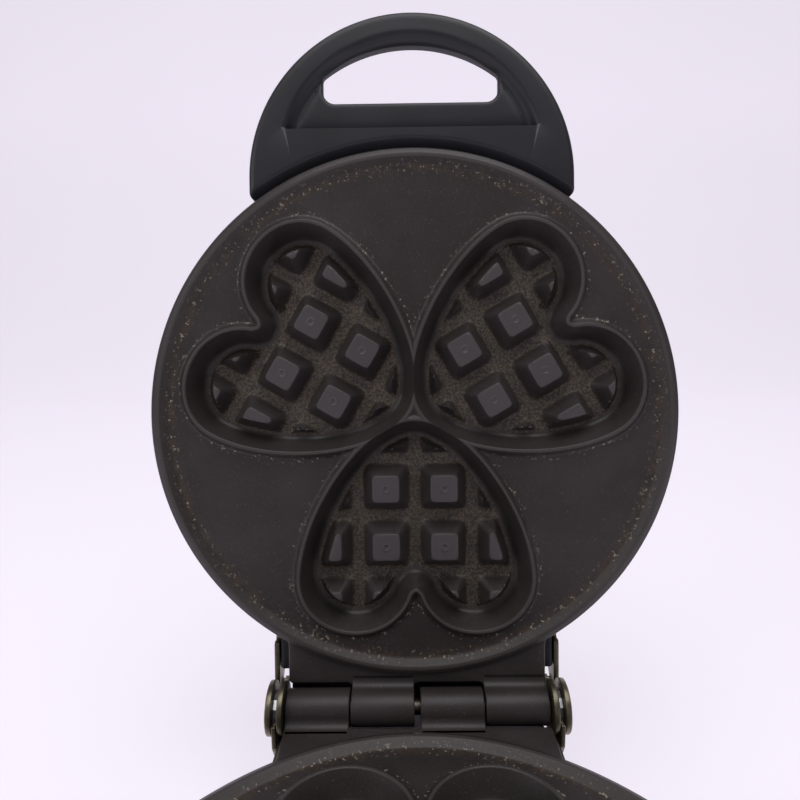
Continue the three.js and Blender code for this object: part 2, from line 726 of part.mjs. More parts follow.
// Tubular element: an open loop under the moulds, with both ends turned away from the plate.
function element() {
  const start = THREE.MathUtils.degToRad(270 + elementOpening);
  const end = THREE.MathUtils.degToRad(630 - elementOpening);
  const at = (angle, z) => [elementRing * Math.cos(angle), hingeReach + elementRing * Math.sin(angle), z];
  const points = [at(start, elementZ - elementLeg), at(start, elementZ - elementRadius)];
  const stops = 12;
  for (let i = 0; i <= stops; i++) {
    const sag = i === 0 || i === stops ? elementSag : 0;
    points.push(at(start + (end - start) * (i + 0.3) / (stops + 0.6), elementZ - sag));
  }
  points.push(at(end, elementZ - elementRadius), at(end, elementZ - elementLeg));
  return tube(points, elementRadius, 6, 32);
}

// Shallow steel dish that keeps the heat off the housing.
function reflector() {
  const edge = reflectorRadius - reflectorLip;
  const dish = turned([
    [0, reflectorZ], [edge, reflectorZ], [reflectorRadius, reflectorZ + reflectorLip],
    [reflectorRadius, reflectorZ + reflectorLip - reflectorSheet], [edge, reflectorZ - reflectorSheet],
    [0, reflectorZ - reflectorSheet],
  ], middle, 24);
  const low = reflectorZ - 1;
  const high = reflectorZ + reflectorLip;
  const postHoles = postPlaces().map((place) => bar('z', postRadius + gap, low, high, place));
  const shaftHole = bar('z', shaftRadius + 2 * gap, low, high, [0, hingeReach + dialAt]);
  const terminals = block(
    [-terminalSlot, hingeReach - elementRing - elementRadius - 1, low],
    [terminalSlot, hingeReach - elementRing + elementRadius * 4, high],
  );
  return cut(dish, [...postHoles, shaftHole, terminals]);
}

function thermostat() {
  const top = apronTop - plateWall - gap;
  return bar('z', thermostatRadius, top - thermostatHeight, top, [0, hingeReach + dialAt], 20);
}

function thermostatShaft() {
  const top = apronTop - plateWall - 2 * gap - thermostatHeight;
  const end = -lidDepth - knobLift - knobShaftDepth + gap;
  return bar('z', shaftRadius, end, top, [0, hingeReach + dialAt]);
}

// Knob with a raised pointer across its face.
function knob() {
  const place = [0, hingeReach + dialAt];
  const near = -lidDepth - knobLift;
  const far = near - knobHeight;
  const body = turned([
    [0, near], [knobRadius, near], [knobRadius, near - 3], [knobRadius - 2.5, near - 4.5],
    [knobRadius - 4, far + 1], [knobRadius - 5, far], [0, far],
  ], place, 24);
  const pointer = block([-1.5, place[1], far - 1.2], [1.5, place[1] + knobRadius - 5, far + 1]);
  return body.add(pointer).subtract(bar('z', shaftRadius + gap, near + 1, near - knobShaftDepth, place));
}

function lamp(side) {
  const place = [side * lampX, hingeReach + lampY];
  const flange = bar('z', lampRadius + 1.2, -lidDepth - gap, -lidDepth - gap - 1, place);
  const lens = bar('z', lampRadius, -lidDepth - gap - 2, lampLength - lidDepth, place);
  return flange.add(lens);
}

// A bush in a wall that faces along -y, with a flange outside and a way through.
function bush(radius, bore, x, wallAt, z) {
  const outside = wallAt - gap;
  const sleeve = bar('y', radius, outside, outside + bushLength, [x, z]);
  const flange = bar('y', radius + bushFlange, outside, outside - bushFlange, [x, z]);
  return sleeve.add(flange).subtract(bar('y', bore, outside - 4, outside + bushLength + 1, [x, z]));
}

function terminalBlock() {
  const [width, depth] = terminalSize;
  const low = shellWall - baseDepth + gap;
  const high = elementZ - elementLeg - terminalRoom;
  return block([-width / 2, terminalAt - depth / 2, low], [width / 2, terminalAt + depth / 2, high]);
}

function fuse() {
  const z = shellWall - baseDepth + fuseRadius + gap;
  return bar('x', fuseRadius, -fuseLength / 2, fuseLength / 2, [fuseAt, z]);
}

// Sleeved lead that leaves the base behind the hinge and loops up into the lid's neck.
function lead() {
  const inLid = (y, z) => {
    const spot = new THREE.Vector2(y, z).rotateAround(new THREE.Vector2(), lidTilt);
    return [leadX, spot.x, spot.y];
  };
  const inBase = (y, z) => [leadX, -y, z];
  return tube([
    inBase(leadIn - blockBack, -leadDrop), inBase(-blockBack, -leadDrop), inBase(-blockBack - 6, -leadDrop),
    [leadX, leadBulge - 2, -leadDrop * 0.7], [leadX, leadBulge, -leadDrop * 0.3],
    inLid(neckEnd - 7, -leadDrop), inLid(neckEnd, -leadDrop), inLid(neckEnd + leadIn, -leadDrop),
  ], leadRadius, 8, 16);
}

// ---- materials --------------------------------------------------------------------------------

function finish(color, roughness, metalness) {
  return new THREE.MeshStandardMaterial({ color, roughness, metalness });
}

const nonStick = () => finish(0x3a3534, 0.5, 0.3);
const blackPlastic = () => finish(0x1c1d21, 0.45, 0);
const passivatedSteel = () => finish(0x8f8770, 0.4, 0.9);
const plainSteel = () => finish(0xa7a9ab, 0.35, 1);
const rubber = () => finish(0x17171a, 0.85, 0);
const ceramic = () => finish(0xd9d3c5, 0.6, 0);
const redLens = () => finish(0xa31512, 0.15, 0);
const greenLens = () => finish(0x2f8f3a, 0.15, 0);
const glassBraid = () => finish(0xc9bfa6, 0.9, 0);

// ---- assembly ---------------------------------------------------------------------------------

function add(group, name, solid, material) {
  const mesh = new THREE.Mesh(toGeometry(solid), material);
  mesh.name = name;
  group.add(mesh);
}

// Left and right are as the user sees them, so the base, which is turned round, has them swapped.
const baseHands = [['left', 1], ['right', -1]];
const lidHands = [['left', -1], ['right', 1]];

// What the base and the lid have alike.
function addHalf(group, name, depth, armInside, hands) {
  add(group, `${name}_plate`, cookingPlate(), nonStick());
  add(group, `${name}_handle`, handle(), blackPlastic());
  add(group, `${name}_element`, element(), plainSteel());
  add(group, `${name}_reflector`, reflector(), plainSteel());
  postPlaces().forEach((place, i) => {
    add(group, `${name}_shell_screw_${i + 1}`, postScrew(depth, place), plainSteel());
  });
  for (const [hand, side] of hands) {
    add(group, `${name}_arm_${hand}`, arm(side, armInside), passivatedSteel());
    add(group, `${name}_arm_screw_${hand}`, armScrew(side, armInside), plainSteel());
    add(group, `${name}_handle_screw_${hand}`, handleScrew(side), plainSteel());
  }
}

const base = new THREE.Group();
base.rotation.z = Math.PI;
addHalf(base, 'base', baseDepth, baseArmInside, baseHands);
add(base, 'base_shell', baseShell(), blackPlastic());
add(base, 'hinge_pin', hingePin(), plainSteel());
for (const [hand, side] of baseHands) {
  add(base, `lid_stop_${hand}`, lidStop(side), passivatedSteel());
  add(base, `hinge_washer_${hand}`, washer(side), plainSteel());
}
footPlaces().forEach((place, i) => add(base, `foot_${i + 1}`, foot(place), rubber()));
const inletBush = bush(glandRadius, glandBore, -glandX, -blockBack, glandRise - baseDepth);
add(base, 'cord_gland', inletBush, rubber());
add(base, 'base_grommet', bush(grommetRadius, leadRadius + gap, -leadX, -blockBack, -leadDrop), rubber());
add(base, 'terminal_block', terminalBlock(), ceramic());
add(base, 'thermal_fuse', fuse(), ceramic());

const lid = new THREE.Group();
lid.rotation.x = lidTilt;
addHalf(lid, 'lid', lidDepth, lidArmInside, lidHands);
add(lid, 'lid_shell', lidShell(), blackPlastic());
add(lid, 'lid_grommet', bush(grommetRadius, leadRadius + gap, leadX, neckEnd, -leadDrop), rubber());
add(lid, 'thermostat', thermostat(), plainSteel());
add(lid, 'thermostat_shaft', thermostatShaft(), plainSteel());
add(lid, 'thermostat_knob', knob(), blackPlastic());
add(lid, 'power_lamp', lamp(-1), redLens());
add(lid, 'ready_lamp', lamp(1), greenLens());

const waffleMaker = new THREE.Group();
waffleMaker.add(base, lid);
add(waffleMaker, 'lid_lead', lead(), glassBraid());

// The origin is the middle of the machine's outline, on the surface that it stands on.
const outline = new THREE.Box3().setFromObject(waffleMaker, true);
const centre = outline.getCenter(new THREE.Vector3());
waffleMaker.position.set(-centre.x, -centre.y, -outline.min.z);

export default waffleMaker;
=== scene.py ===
"""Round electric waffle maker with three heart-shaped moulds, shown open.

Lengths are millimetres in the "half frame" that both halves share: x along the hinge pin, y from
the pin towards the grip, z at the other half, with z = 0 where the halves meet. place() turns them
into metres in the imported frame.
"""

import json
import math

import bmesh
import bpy
import numpy as np
from mathutils import Matrix, Vector
from mathutils.geometry import delaunay_2d_cdt, tessellate_polygon


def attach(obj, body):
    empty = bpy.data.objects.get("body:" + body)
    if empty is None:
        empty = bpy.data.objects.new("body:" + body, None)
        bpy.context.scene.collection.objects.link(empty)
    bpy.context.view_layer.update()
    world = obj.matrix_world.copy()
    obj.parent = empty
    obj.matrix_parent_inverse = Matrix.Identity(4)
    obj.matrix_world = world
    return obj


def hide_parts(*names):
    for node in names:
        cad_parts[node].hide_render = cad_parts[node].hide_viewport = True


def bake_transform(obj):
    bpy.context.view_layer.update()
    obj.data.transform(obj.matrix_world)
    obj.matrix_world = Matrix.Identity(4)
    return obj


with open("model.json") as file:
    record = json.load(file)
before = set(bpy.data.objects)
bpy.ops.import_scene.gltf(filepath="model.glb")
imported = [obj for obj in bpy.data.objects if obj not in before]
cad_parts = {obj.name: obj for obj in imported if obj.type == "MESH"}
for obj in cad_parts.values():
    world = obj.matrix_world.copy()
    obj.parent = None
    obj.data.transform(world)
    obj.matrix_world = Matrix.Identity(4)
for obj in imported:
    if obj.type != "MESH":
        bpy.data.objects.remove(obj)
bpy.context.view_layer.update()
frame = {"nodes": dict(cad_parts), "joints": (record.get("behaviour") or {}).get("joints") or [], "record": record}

MM = 0.001
hinge_joint = next(j for j in frame["joints"] if j["name"] == "lid_hinge")
HINGE = np.array(hinge_joint["pos_m"])
TILT = math.pi - math.radians(hinge_joint["range_deg"][1])

# ---- sizes -------------------------------------------------------------------------------------

REACH = 116.0              # pin to the middle of a plate
GAP = 0.3

PLATE_RADIUS = 104.8
SKIRT_DEPTH = 12.0
PLATE_WALL = 3.0
FIELD = -2.5               # flat face of a plate
RIM_TOP = -0.15
RIM_FOOT = 97.5            # radius at the foot of the rim's inner slope
RIM_CREST = (100.4, 101.6)
MOULD_FLOOR = -10.0
WALL_SLOPE = 4.3
LAND_CREST = 1.2           # width of the narrow crest around each heart
LAND_FOOT = 3.0
HEARTS = 3

HEART_TIP = -2.8
HEART_HALF = 45.9
WIDEST = -66.0
LOBE_MIDDLE = 24.0
LOBE_HEIGHT = 20.2
CUSP = -69.3
TIP_PULL = 21.0
LOBE_PULL = 25.0
NOTCH_TURN = 0.91 * math.pi

STUD_PITCH = 23.2
STUD_SHIFT = -30.0
STUD_TOP = -1.9
STUD_TOP_HALF = 5.2
STUD_FOOT_HALF = 9.5
CUT_FOOT = -6.9            # where studs that the mould cuts short start to rise, inside its edge
CUT_TOP = -10.4

APRON_HALF = 51.3
APRON_THICKNESS = 6.0
KNUCKLE_RADIUS = 7.0
KNUCKLE_LENGTH = 24.7
KNUCKLE_MIDDLE = 2.4
KNUCKLE_SIDE = 0.6
RELIEF = 8.2
FILLET = 3.2

GRIP_RADIUS = 64.7
GRIP_CENTRE = 93.8
GRIP_FOOT = 85.7
GRIP_FRONT = -4.0
GRIP_BACK = -20.0
GRIP_SEAT = 109.3          # radius of the grip's front edge around the plate
GRIP_WALL = 3.5
GRIP_SOLID = 117.0
DISH_CENTRE = 97.7
DISH_RADIUS = 53.5
DISH_BOTTOM = 113.4
DISH_DEPTH = 2.5
OPENING_HALF = 35.0
OPENING_BOTTOM = 124.0
OPENING_TOP = 146.3
OPENING_ARC = 57.0
OPENING_CORNER = 5.0

ARM_THICKNESS = 2.2
ARM_TAB = 10.0
ARM_TOP = 9.0
ARM_WIDTH = 15.0
ARM_LENGTH = 50.0
ARM_KNEE = 12.0
ARM_SLOT = 22.0
BASE_ARM = 51.9
STOP_THICKNESS = 1.6
STOP_INSIDE = BASE_ARM + ARM_THICKNESS + GAP
LID_ARM = STOP_INSIDE + STOP_THICKNESS + GAP
PIN_RADIUS = 3.0
PIN_END = LID_ARM + ARM_THICKNESS + 0.6
ARM_SCREW = (17.0, -17.0)

SHELL_RADIUS = 103.5
SHELL_WALL = 2.5
SHELL_TOP = -12.3
SHOULDER = 14.0
STRAIGHT_SIDE = 10.0
DEPTH = {"base": 50.0, "lid": 38.0}
POST_RING = 75.0
POST_ANGLES = (90, 210, 330)
HEAD_RADIUS = 3.4
HEAD_HEIGHT = 2.0
HEAD_RECESS = 7.7
NECK_END = 11.0
GUARD_END = -2.0           # far edge of the guard behind the knuckles
BLOCK_BACK = 14.0
BLOCK_TOP = -11.8
BLOCK_STEP = 9.0
CHAMFER = 5.0
ROOT_END = 24.0            # where the neck and the block drop clear of the plate's skirt

DIAL = np.array([0.0, REACH + 50.0])
LAMP_X, LAMP_Y = 30.0, REACH + 50.0
FEET = ((-45.0, REACH + 58.0), (45.0, REACH + 58.0), (-38.0, 2.0), (38.0, 2.0))
FOOT_RADIUS, FOOT_HEIGHT = 9.0, 8.0
GLAND_X, GLAND_RISE = -28.0, 18.0
GLAND_RADIUS, GLAND_BORE = 7.0, 3.6
LEAD_X = -20.0             # in the lid's half frame
LEAD_RADIUS = 2.6
LEAD_DROP = 24.0
LEAD_BULGE = 37.0
BUSH_RADIUS = 4.0
VENT_COUNT, VENT_RING = 6, 48.0
VENT_LENGTH, VENT_WIDTH = 22.0, 3.0


# ---- places and meshes -------------------------------------------------------------------------

def place(half, points):
    """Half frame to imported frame: the base is turned half round about z, the lid tipped up about x."""
    p = np.asarray(points, float)
    if half == "base":
        return HINGE + MM * p * [-1.0, -1.0, 1.0]
    c, s = math.cos(TILT), math.sin(TILT)
    turned_up = np.column_stack([p[:, 0], p[:, 1] * c - p[:, 2] * s, p[:, 1] * s + p[:, 2] * c])
    return HINGE + MM * turned_up


def weld(points, faces):
    """Joins points that coincide and drops the triangles that this closes up."""
    _, first, index = np.unique(np.round(points, 4), axis=0, return_index=True, return_inverse=True)
    faces = index.reshape(-1)[faces]
    a, b, c = faces.T
    return points[first], faces[(a != b) & (b != c) & (c != a)], first


def outward(points, faces):
    """Turns a closed surface so that its volume, summed over its triangles, is positive."""
    a, b, c = (points[faces[:, i]] for i in range(3))
    volume = np.einsum("ij,ij->i", a, np.cross(b, c)).sum()
    return faces if volume > 0 else faces[:, ::-1]


def make(name, half, shells, material, stands_for=(), crease=32, body=None):
    """One piece from closed shells in the half frame. A shell is points, triangles and, where it has
    them, marks: named numbers for each point that its material reads."""
    all_points, all_faces, marks, count = [], [], {}, 0
    for shell in shells:
        points, faces, first = weld(shell[0], shell[1])
        placed = place(half, points)
        all_faces.append(outward(placed, faces) + count)
        all_points.append(placed)
        for key, values in (shell[2] if len(shell) > 2 else {}).items():
            marks.setdefault(key, []).append((count, values[first]))
        count += len(points)
    points, faces = np.vstack(all_points), np.vstack(all_faces).astype(np.int32)
    mesh = bpy.data.meshes.new(name)
    mesh.vertices.add(len(points))
    mesh.vertices.foreach_set("co", points.ravel().astype(np.float32))
    mesh.loops.add(faces.size)
    mesh.loops.foreach_set("vertex_index", faces.ravel())
    mesh.polygons.add(len(faces))
    mesh.polygons.foreach_set("loop_start", np.arange(0, faces.size, 3, dtype=np.int32))
    mesh.update(calc_edges=True)
    for key, parts in marks.items():
        whole = np.zeros(count, np.float32)
        for start, values in parts:
            whole[start:start + len(values)] = values
        mesh.attributes.new(key, "FLOAT", "POINT").data.foreach_set("value", whole)
    mesh.shade_smooth()
    mesh.set_sharp_from_angle(angle=math.radians(crease))
    mesh.materials.append(material)
    piece = bpy.data.objects.new(name, mesh)
    bpy.context.scene.collection.objects.link(piece)
    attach(piece, body or half)
    if stands_for:
        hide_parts(*stands_for)
    return piece


# ---- curves and outlines -----------------------------------------------------------------------

def rounded(corners, closed=False, steps=5):
    """A line through corners given as (x, y, radius): each corner becomes an arc tangent to both sides."""
    count = len(corners)
    line = []
    for i, (x, y, radius) in enumerate(corners):
        here = np.array([x, y], float)
        if radius == 0 or (not closed and i in (0, count - 1)):
            line.append(here[None])
            continue
        back = np.array(corners[i - 1][:2], float) - here
        ahead = np.array(corners[(i + 1) % count][:2], float) - here
        back, ahead = back / np.hypot(*back), ahead / np.hypot(*ahead)
        half = math.acos(np.clip(back @ ahead, -1, 1)) / 2
        middle = (back + ahead) / np.hypot(*(back + ahead))
        centre = here + middle * radius / math.sin(half)
        reach = radius / math.tan(half)
        start, end = here + back * reach - centre, here + ahead * reach - centre
        turn = math.atan2(start[0] * end[1] - start[1] * end[0], start @ end)
        angles = np.linspace(0, turn, steps + 1)[:, None]
        across = np.array([-start[1], start[0]])
        line.append(centre + start * np.cos(angles) + across * np.sin(angles))
    return np.vstack(line)


def arc(centre, radius, start, end, count):
    """Points on a circle between two angles, both ends included."""
    angles = np.linspace(start, end, count)
    return np.column_stack([centre[0] + radius * np.cos(angles), centre[1] + radius * np.sin(angles)])


def ring(radius, count, centre=(0.0, REACH)):
    return arc(centre, radius, 0, 2 * math.pi, count + 1)[:-1]


def normals(line, closed=True):
    """At each point, the unit normal to the right of the way along the line."""
    if closed:
        along = np.roll(line, -1, 0) - np.roll(line, 1, 0)
    else:
        along = np.gradient(line, axis=0)
    along /= np.hypot(along[:, 0], along[:, 1])[:, None]
    return np.column_stack([along[:, 1], -along[:, 0]])


def nearest(points, line):
    """Distance from each point to an open line, positive to the right of the way along it."""
    start, end = line[:-1], line[1:]
    run = end - start
    length = (run ** 2).sum(1)
    result = np.empty(len(points))
    for low in range(0, len(points), 4000):
        offset = points[low:low + 4000, None] - start
        share = np.clip((offset * run).sum(2) / length, 0, 1)
        away = offset - share[..., None] * run
        squared = (away ** 2).sum(2)
        best = squared.argmin(1)
        rows = np.arange(len(best))
        side = run[best, 1] * away[rows, best, 0] - run[best, 0] * away[rows, best, 1]
        result[low:low + 4000] = np.sqrt(squared[rows, best]) * np.where(side < 0, -1, 1)
    return result


def within(points, loop):
    """True for points inside a closed loop: a line to their right crosses it an odd number of times."""
    after = np.roll(loop, -1, 0)
    x, y = points[:, 0:1], points[:, 1:2]
    spans = (loop[:, 1] > y) != (after[:, 1] > y)
    rise = np.where(after[:, 1] == loop[:, 1], 1e-9, after[:, 1] - loop[:, 1])
    crossing = loop[:, 0] + (y - loop[:, 1]) * (after[:, 0] - loop[:, 0]) / rise
    return (spans & (x < crossing)).sum(1) % 2 == 1


def smooth_step(value, low, high):
    t = np.clip((value - low) / (high - low), 0, 1)
    return t * t * (3 - 2 * t)


def soft_min(a, b, width):
    """The lower of two heights, with the crease between them rounded over a width."""
    share = np.clip(width - np.abs(a - b), 0, None) / np.maximum(width, 1e-9)
    return np.minimum(a, b) - share ** 2 * width / 4


# ---- closed shells -----------------------------------------------------------------------------

def grid_faces(rows, columns, wrap=True):
    """Two triangles for each cell of a grid of points, closed around its columns."""
    i = np.arange(rows - 1)[:, None] * columns
    j = np.arange(columns if wrap else columns - 1)[None]
    k = (j + 1) % columns
    a, b, c, d = (i + j).ravel(), (i + k).ravel(), (i + columns + k).ravel(), (i + columns + j).ravel()
    return np.vstack([np.column_stack([a, b, c]), np.column_stack([a, c, d])])


def turned(profile, centre=(0.0, 0.0), sides=96, ripple=None):
    """A profile of (radius, z) turned about the upright line through a place. ripple scales the
    radius by angle and profile row."""
    profile = np.asarray(profile, float)
    angles = np.linspace(0, 2 * math.pi, sides, endpoint=False)
    radius = np.repeat(profile[:, :1], sides, 1)
    if ripple is not None:
        radius = radius * ripple(angles[None], profile[:, 1:2])
    points = np.stack([
        centre[0] + radius * np.cos(angles), centre[1] + radius * np.sin(angles),
        np.repeat(profile[:, 1:2], sides, 1),
    ], 2).reshape(-1, 3)
    return points, grid_faces(len(profile), sides)


def slab(outline, low, high, edge=0.4, steps=3):
    """An outline given thickness, its two rims rounded: ring after ring moves in by edge (1 - cos)
    while it moves up by edge sin. Both ends are closed by flat faces."""
    turn = np.linspace(0, math.pi / 2, steps + 1)
    insets = edge * (1 - np.sin(turn))
    rises = edge * (1 - np.cos(turn))
    away = normals(outline)
    rings = [(inset, low + rise) for inset, rise in zip(insets, rises)]
    rings += [(inset, high - rise) for inset, rise in reversed(list(zip(insets, rises)))]
    points = np.vstack([
        np.column_stack([outline - away * inset, np.full(len(outline), z)]) for inset, z in rings
    ])
    count = len(outline)
    flat = [Vector((x, y, 0)) for x, y in outline - away * insets[0]]
    cap = np.array(tessellate_polygon([flat]))
    a, b, c = (outline[cap[:, i]] for i in range(3))
    spin = (b[:, 0] - a[:, 0]) * (c[:, 1] - a[:, 1]) - (b[:, 1] - a[:, 1]) * (c[:, 0] - a[:, 0])
    cap = np.where((spin > 0)[:, None], cap, cap[:, ::-1])
    top = cap + count * (len(rings) - 1)
    return points, np.vstack([grid_faces(len(rings), count), cap[:, ::-1], top])


def sideways(shell):
    """Turns a shell drawn in (y, z) with its thickness third into the half frame's x, y, z."""
    points = shell[0][:, [2, 0, 1]]
    return (points, *shell[1:])


def along_y(shell, x, y, z):
    """Turns a shell drawn about z so that it lies along y, and moves it to a place."""
    p = shell[0]
    return np.column_stack([p[:, 0] + x, p[:, 2] + y, z - p[:, 1]]), shell[1]


def plan(chains, loose, keep):
    """Triangles between contour chains in plan view. A chain is points and whether it closes; loose
    points only make the mesh finer. keep says which triangle centres belong."""
    points, edges, count = [], [], 0
    for line, closes in chains:
        index = np.arange(len(line)) + count
        pairs = np.column_stack([index, np.roll(index, -1)])
        edges.append(pairs if closes else pairs[:-1])
        points.append(line)
        count += len(line)
    points = np.vstack(points + loose)
    flat = [Vector(p) for p in points.tolist()]
    found = delaunay_2d_cdt(flat, np.vstack(edges).tolist(), [], 0, 1e-4, False)
    corners = np.array([tuple(v) for v in found[0]])
    faces = np.array(found[2])
    return corners, faces[keep(corners[faces].mean(1))]


def between(corners, faces, top, back):
    """A solid between two height fields over the same plan, with walls around its open edges."""
    count = len(corners)
    directed = np.vstack([faces[:, [0, 1]], faces[:, [1, 2]], faces[:, [2, 0]]])
    key = directed[:, 0].astype(np.int64) * count + directed[:, 1]
    other = directed[:, 1].astype(np.int64) * count + directed[:, 0]
    a, b = directed[~np.isin(key, other)].T
    walls = np.vstack([np.column_stack([b, a, a + count]), np.column_stack([b, a + count, b + count])])
    points = np.vstack([np.column_stack([corners, top]), np.column_stack([corners, back])])
    return points, np.vstack([faces, faces[:, ::-1] + count, walls])


# ---- cooking plate -----------------------------------------------------------------------------

def half_heart(step=1.0):
    """Right half of a heart's edge from its tip to its notch: a cubic curve, an elliptical arc and a
    short curve that rounds the notch."""
    t = np.linspace(0, 1, int(82 / step))[:, None]
    flank = (
        (1 - t) ** 3 * [0, HEART_TIP] + 3 * (1 - t) ** 2 * t * [TIP_PULL, HEART_TIP]
        + 3 * (1 - t) * t ** 2 * [HEART_HALF, WIDEST + LOBE_PULL] + t ** 3 * [HEART_HALF, WIDEST]
    )
    turn = np.linspace(0, NOTCH_TURN, int(62 / step))[1:]
    lobe = np.column_stack([
        LOBE_MIDDLE + (HEART_HALF - LOBE_MIDDLE) * np.cos(turn), WIDEST - LOBE_HEIGHT * np.sin(turn),
    ])
    t = np.linspace(0, 1, 9)[1:, None]
    notch = (1 - t) ** 2 * lobe[-1] + 2 * (1 - t) * t * [lobe[-1, 0] / 2, CUSP] + t ** 2 * [0, CUSP]
    return np.vstack([flank, lobe, notch])


HALF_HEART = half_heart(1.8)
WALL_PROFILE = rounded([
    (-60, MOULD_FLOOR, 0), (-WALL_SLOPE, MOULD_FLOOR, 2.6), (0, RIM_TOP, 0.75),
    (LAND_CREST, RIM_TOP, 0.75), (LAND_FOOT, FIELD, 1.6), (60, FIELD, 0),
])
RIM_PROFILE = rounded([
    (0, FIELD, 0), (RIM_FOOT, FIELD, 2.2), (RIM_CREST[0], RIM_TOP, 0.9), (RIM_CREST[1], RIM_TOP, 0.9),
    (103.7, -1.2, 1.2), (PLATE_RADIUS, -3.4, 0),
])
STUD_PROFILE = rounded([
    (0, STUD_TOP, 0), (STUD_TOP_HALF, STUD_TOP, 0.45), (STUD_FOOT_HALF, MOULD_FLOOR, 1.1),
    (40, MOULD_FLOOR, 0),
], steps=4)
CUT_SLOPE = (STUD_TOP - MOULD_FLOOR) / (CUT_TOP - CUT_FOOT)


def in_heart(points, heart):
    """Plan points turned into one heart's own frame, whose tip is at the plate's middle."""
    angle = -2 * math.pi * heart / HEARTS
    c, s = math.cos(angle), math.sin(angle)
    x, y = points[:, 0], points[:, 1] - REACH
    return np.column_stack([c * x - s * y, s * x + c * y])


def from_heart(points, heart):
    angle = 2 * math.pi * heart / HEARTS
    c, s = math.cos(angle), math.sin(angle)
    x, y = points[:, 0], points[:, 1]
    return np.column_stack([c * x - s * y, s * x + c * y + REACH])


def heart_distances(points):
    """Distance to each heart's edge, negative inside it."""
    found = []
    for heart in range(HEARTS):
        local = in_heart(points, heart)
        local[:, 0] = np.abs(local[:, 0])
        found.append(-nearest(local, HALF_HEART))
    return np.array(found)


def stud_height(local, distance):
    """Height of the studs: square pyramids with flat tops, cut short by a wall that follows the
    mould's edge. Whole ones carry a small raised ring."""
    cell = (local - [STUD_PITCH / 2, STUD_SHIFT]) / STUD_PITCH
    offset = np.abs((cell - np.round(cell)) * STUD_PITCH)
    reach = (offset ** 9).sum(1) ** (1 / 9)
    height = np.interp(reach, STUD_PROFILE[:, 0], STUD_PROFILE[:, 1])
    cut = MOULD_FLOOR + CUT_SLOPE * (distance - CUT_FOOT)
    height = soft_min(height, cut, 0.5)
    middle = np.hypot(offset[:, 0], offset[:, 1])
    pip = 0.22 * np.exp(-((middle - 1.35) / 0.3) ** 2) - 0.2 * np.exp(-(middle / 0.75) ** 2)
    return height + np.where(cut > STUD_TOP + 2, pip, 0)


def plate_height(points):
    """Height of a plate's cooking face, and what its material needs to know."""
    distances = heart_distances(points)
    order = np.sort(distances, 0)
    edge, second = order[0], order[1]
    outside = soft_min(edge, second, np.clip(edge - 0.9, 0, 2.4))
    edge = np.where(edge > 0, outside, edge)
    height = np.interp(edge, WALL_PROFILE[:, 0], WALL_PROFILE[:, 1])
    studs = np.full(len(points), MOULD_FLOOR)
    for heart in range(HEARTS):
        inside = distances[heart] < CUT_FOOT + 1
        local = in_heart(points[inside], heart)
        studs[inside] = stud_height(local, distances[heart][inside])
    height = np.maximum(height, studs)
    radius = np.hypot(points[:, 0], points[:, 1] - REACH)
    rim = np.interp(radius, RIM_PROFILE[:, 0], RIM_PROFILE[:, 1])
    height = np.where(radius > RIM_FOOT - 3, rim, height)
    return height, edge, radius


def plate_contours():
    """Chains along every rim, wall and stud edge, and loose points on the studs."""
    right = HALF_HEART
    whole = np.vstack([right, right[-2:0:-1] * [-1, 1]])
    away = -normals(whole)
    wall_levels = [d for d in WALL_PROFILE[:, 0] if -WALL_SLOPE - 4 < d < LAND_FOOT + 4]
    wall_levels += [-WALL_SLOPE * 0.35, -WALL_SLOPE * 0.65, LAND_FOOT + 2.5]
    cut_levels = [CUT_FOOT + 0.25, CUT_FOOT - 0.25, CUT_FOOT - 1.2, CUT_FOOT - 2.2, CUT_TOP + 0.3, CUT_TOP]
    chains = []
    for level in wall_levels + cut_levels:
        line = whole + away * level
        for heart in range(HEARTS):
            placed = from_heart(line, heart)
            own = np.abs(heart_distances(placed).min(0) - level) < 0.03
            chains += runs(placed, own)
    profile_steps = STUD_PROFILE[1:-1, 0]
    extra = np.linspace(STUD_TOP_HALF + 0.6, STUD_FOOT_HALF - 0.9, 3)
    offsets = np.concatenate([[0, 1.35, 2.6, 4.0], profile_steps, extra])
    offsets = np.concatenate([-offsets[::-1], offsets[1:]])
    columns = np.concatenate([c * STUD_PITCH + offsets for c in (-1.5, -0.5, 0.5, 1.5)])
    rows = np.concatenate([STUD_SHIFT + r * STUD_PITCH + offsets for r in (1, 0, -1, -2)])
    lattice = np.stack(np.meshgrid(columns, rows), 2).reshape(-1, 2)
    local = lattice.copy()
    local[:, 0] = np.abs(local[:, 0])
    lattice = lattice[-nearest(local, HALF_HEART) < CUT_FOOT + 0.6]
    pips = []
    for c in (-0.5, 0.5):
        for r in (0, -1):
            centre = (c * STUD_PITCH, STUD_SHIFT + r * STUD_PITCH)
            pips += [ring(size, 14, centre) for size in (0.5, 0.95, 1.35, 1.75, 2.2)]
    loose = [from_heart(np.vstack([lattice, *pips]), heart) for heart in range(HEARTS)]
    for i in range(2 * HEARTS):
        angle = math.pi / 2 + i * math.pi / HEARTS
        spoke = np.linspace(0.5, 46, 100)[:, None] if i % 2 == 0 else np.linspace(69.6, 80, 24)[:, None]
        loose.append([0, REACH] + spoke * [math.cos(angle), math.sin(angle)])
    for radius in list(RIM_PROFILE[1:-1, 0]) + [RIM_FOOT - 4, PLATE_RADIUS - 0.02, PLATE_RADIUS]:
        chains.append((ring(radius, 300), True))
    return chains, loose


def runs(line, keep):
    """The stretches of a closed line whose points are kept."""
    if keep.all():
        return [(line, True)]
    start = int(np.argmin(keep))
    line, keep = np.roll(line, -start, 0), np.roll(keep, -start)
    change = np.flatnonzero(np.diff(np.concatenate([[0], keep.astype(int), [0]])))
    return [(line[a:b], False) for a, b in change.reshape(-1, 2) if b - a > 1]


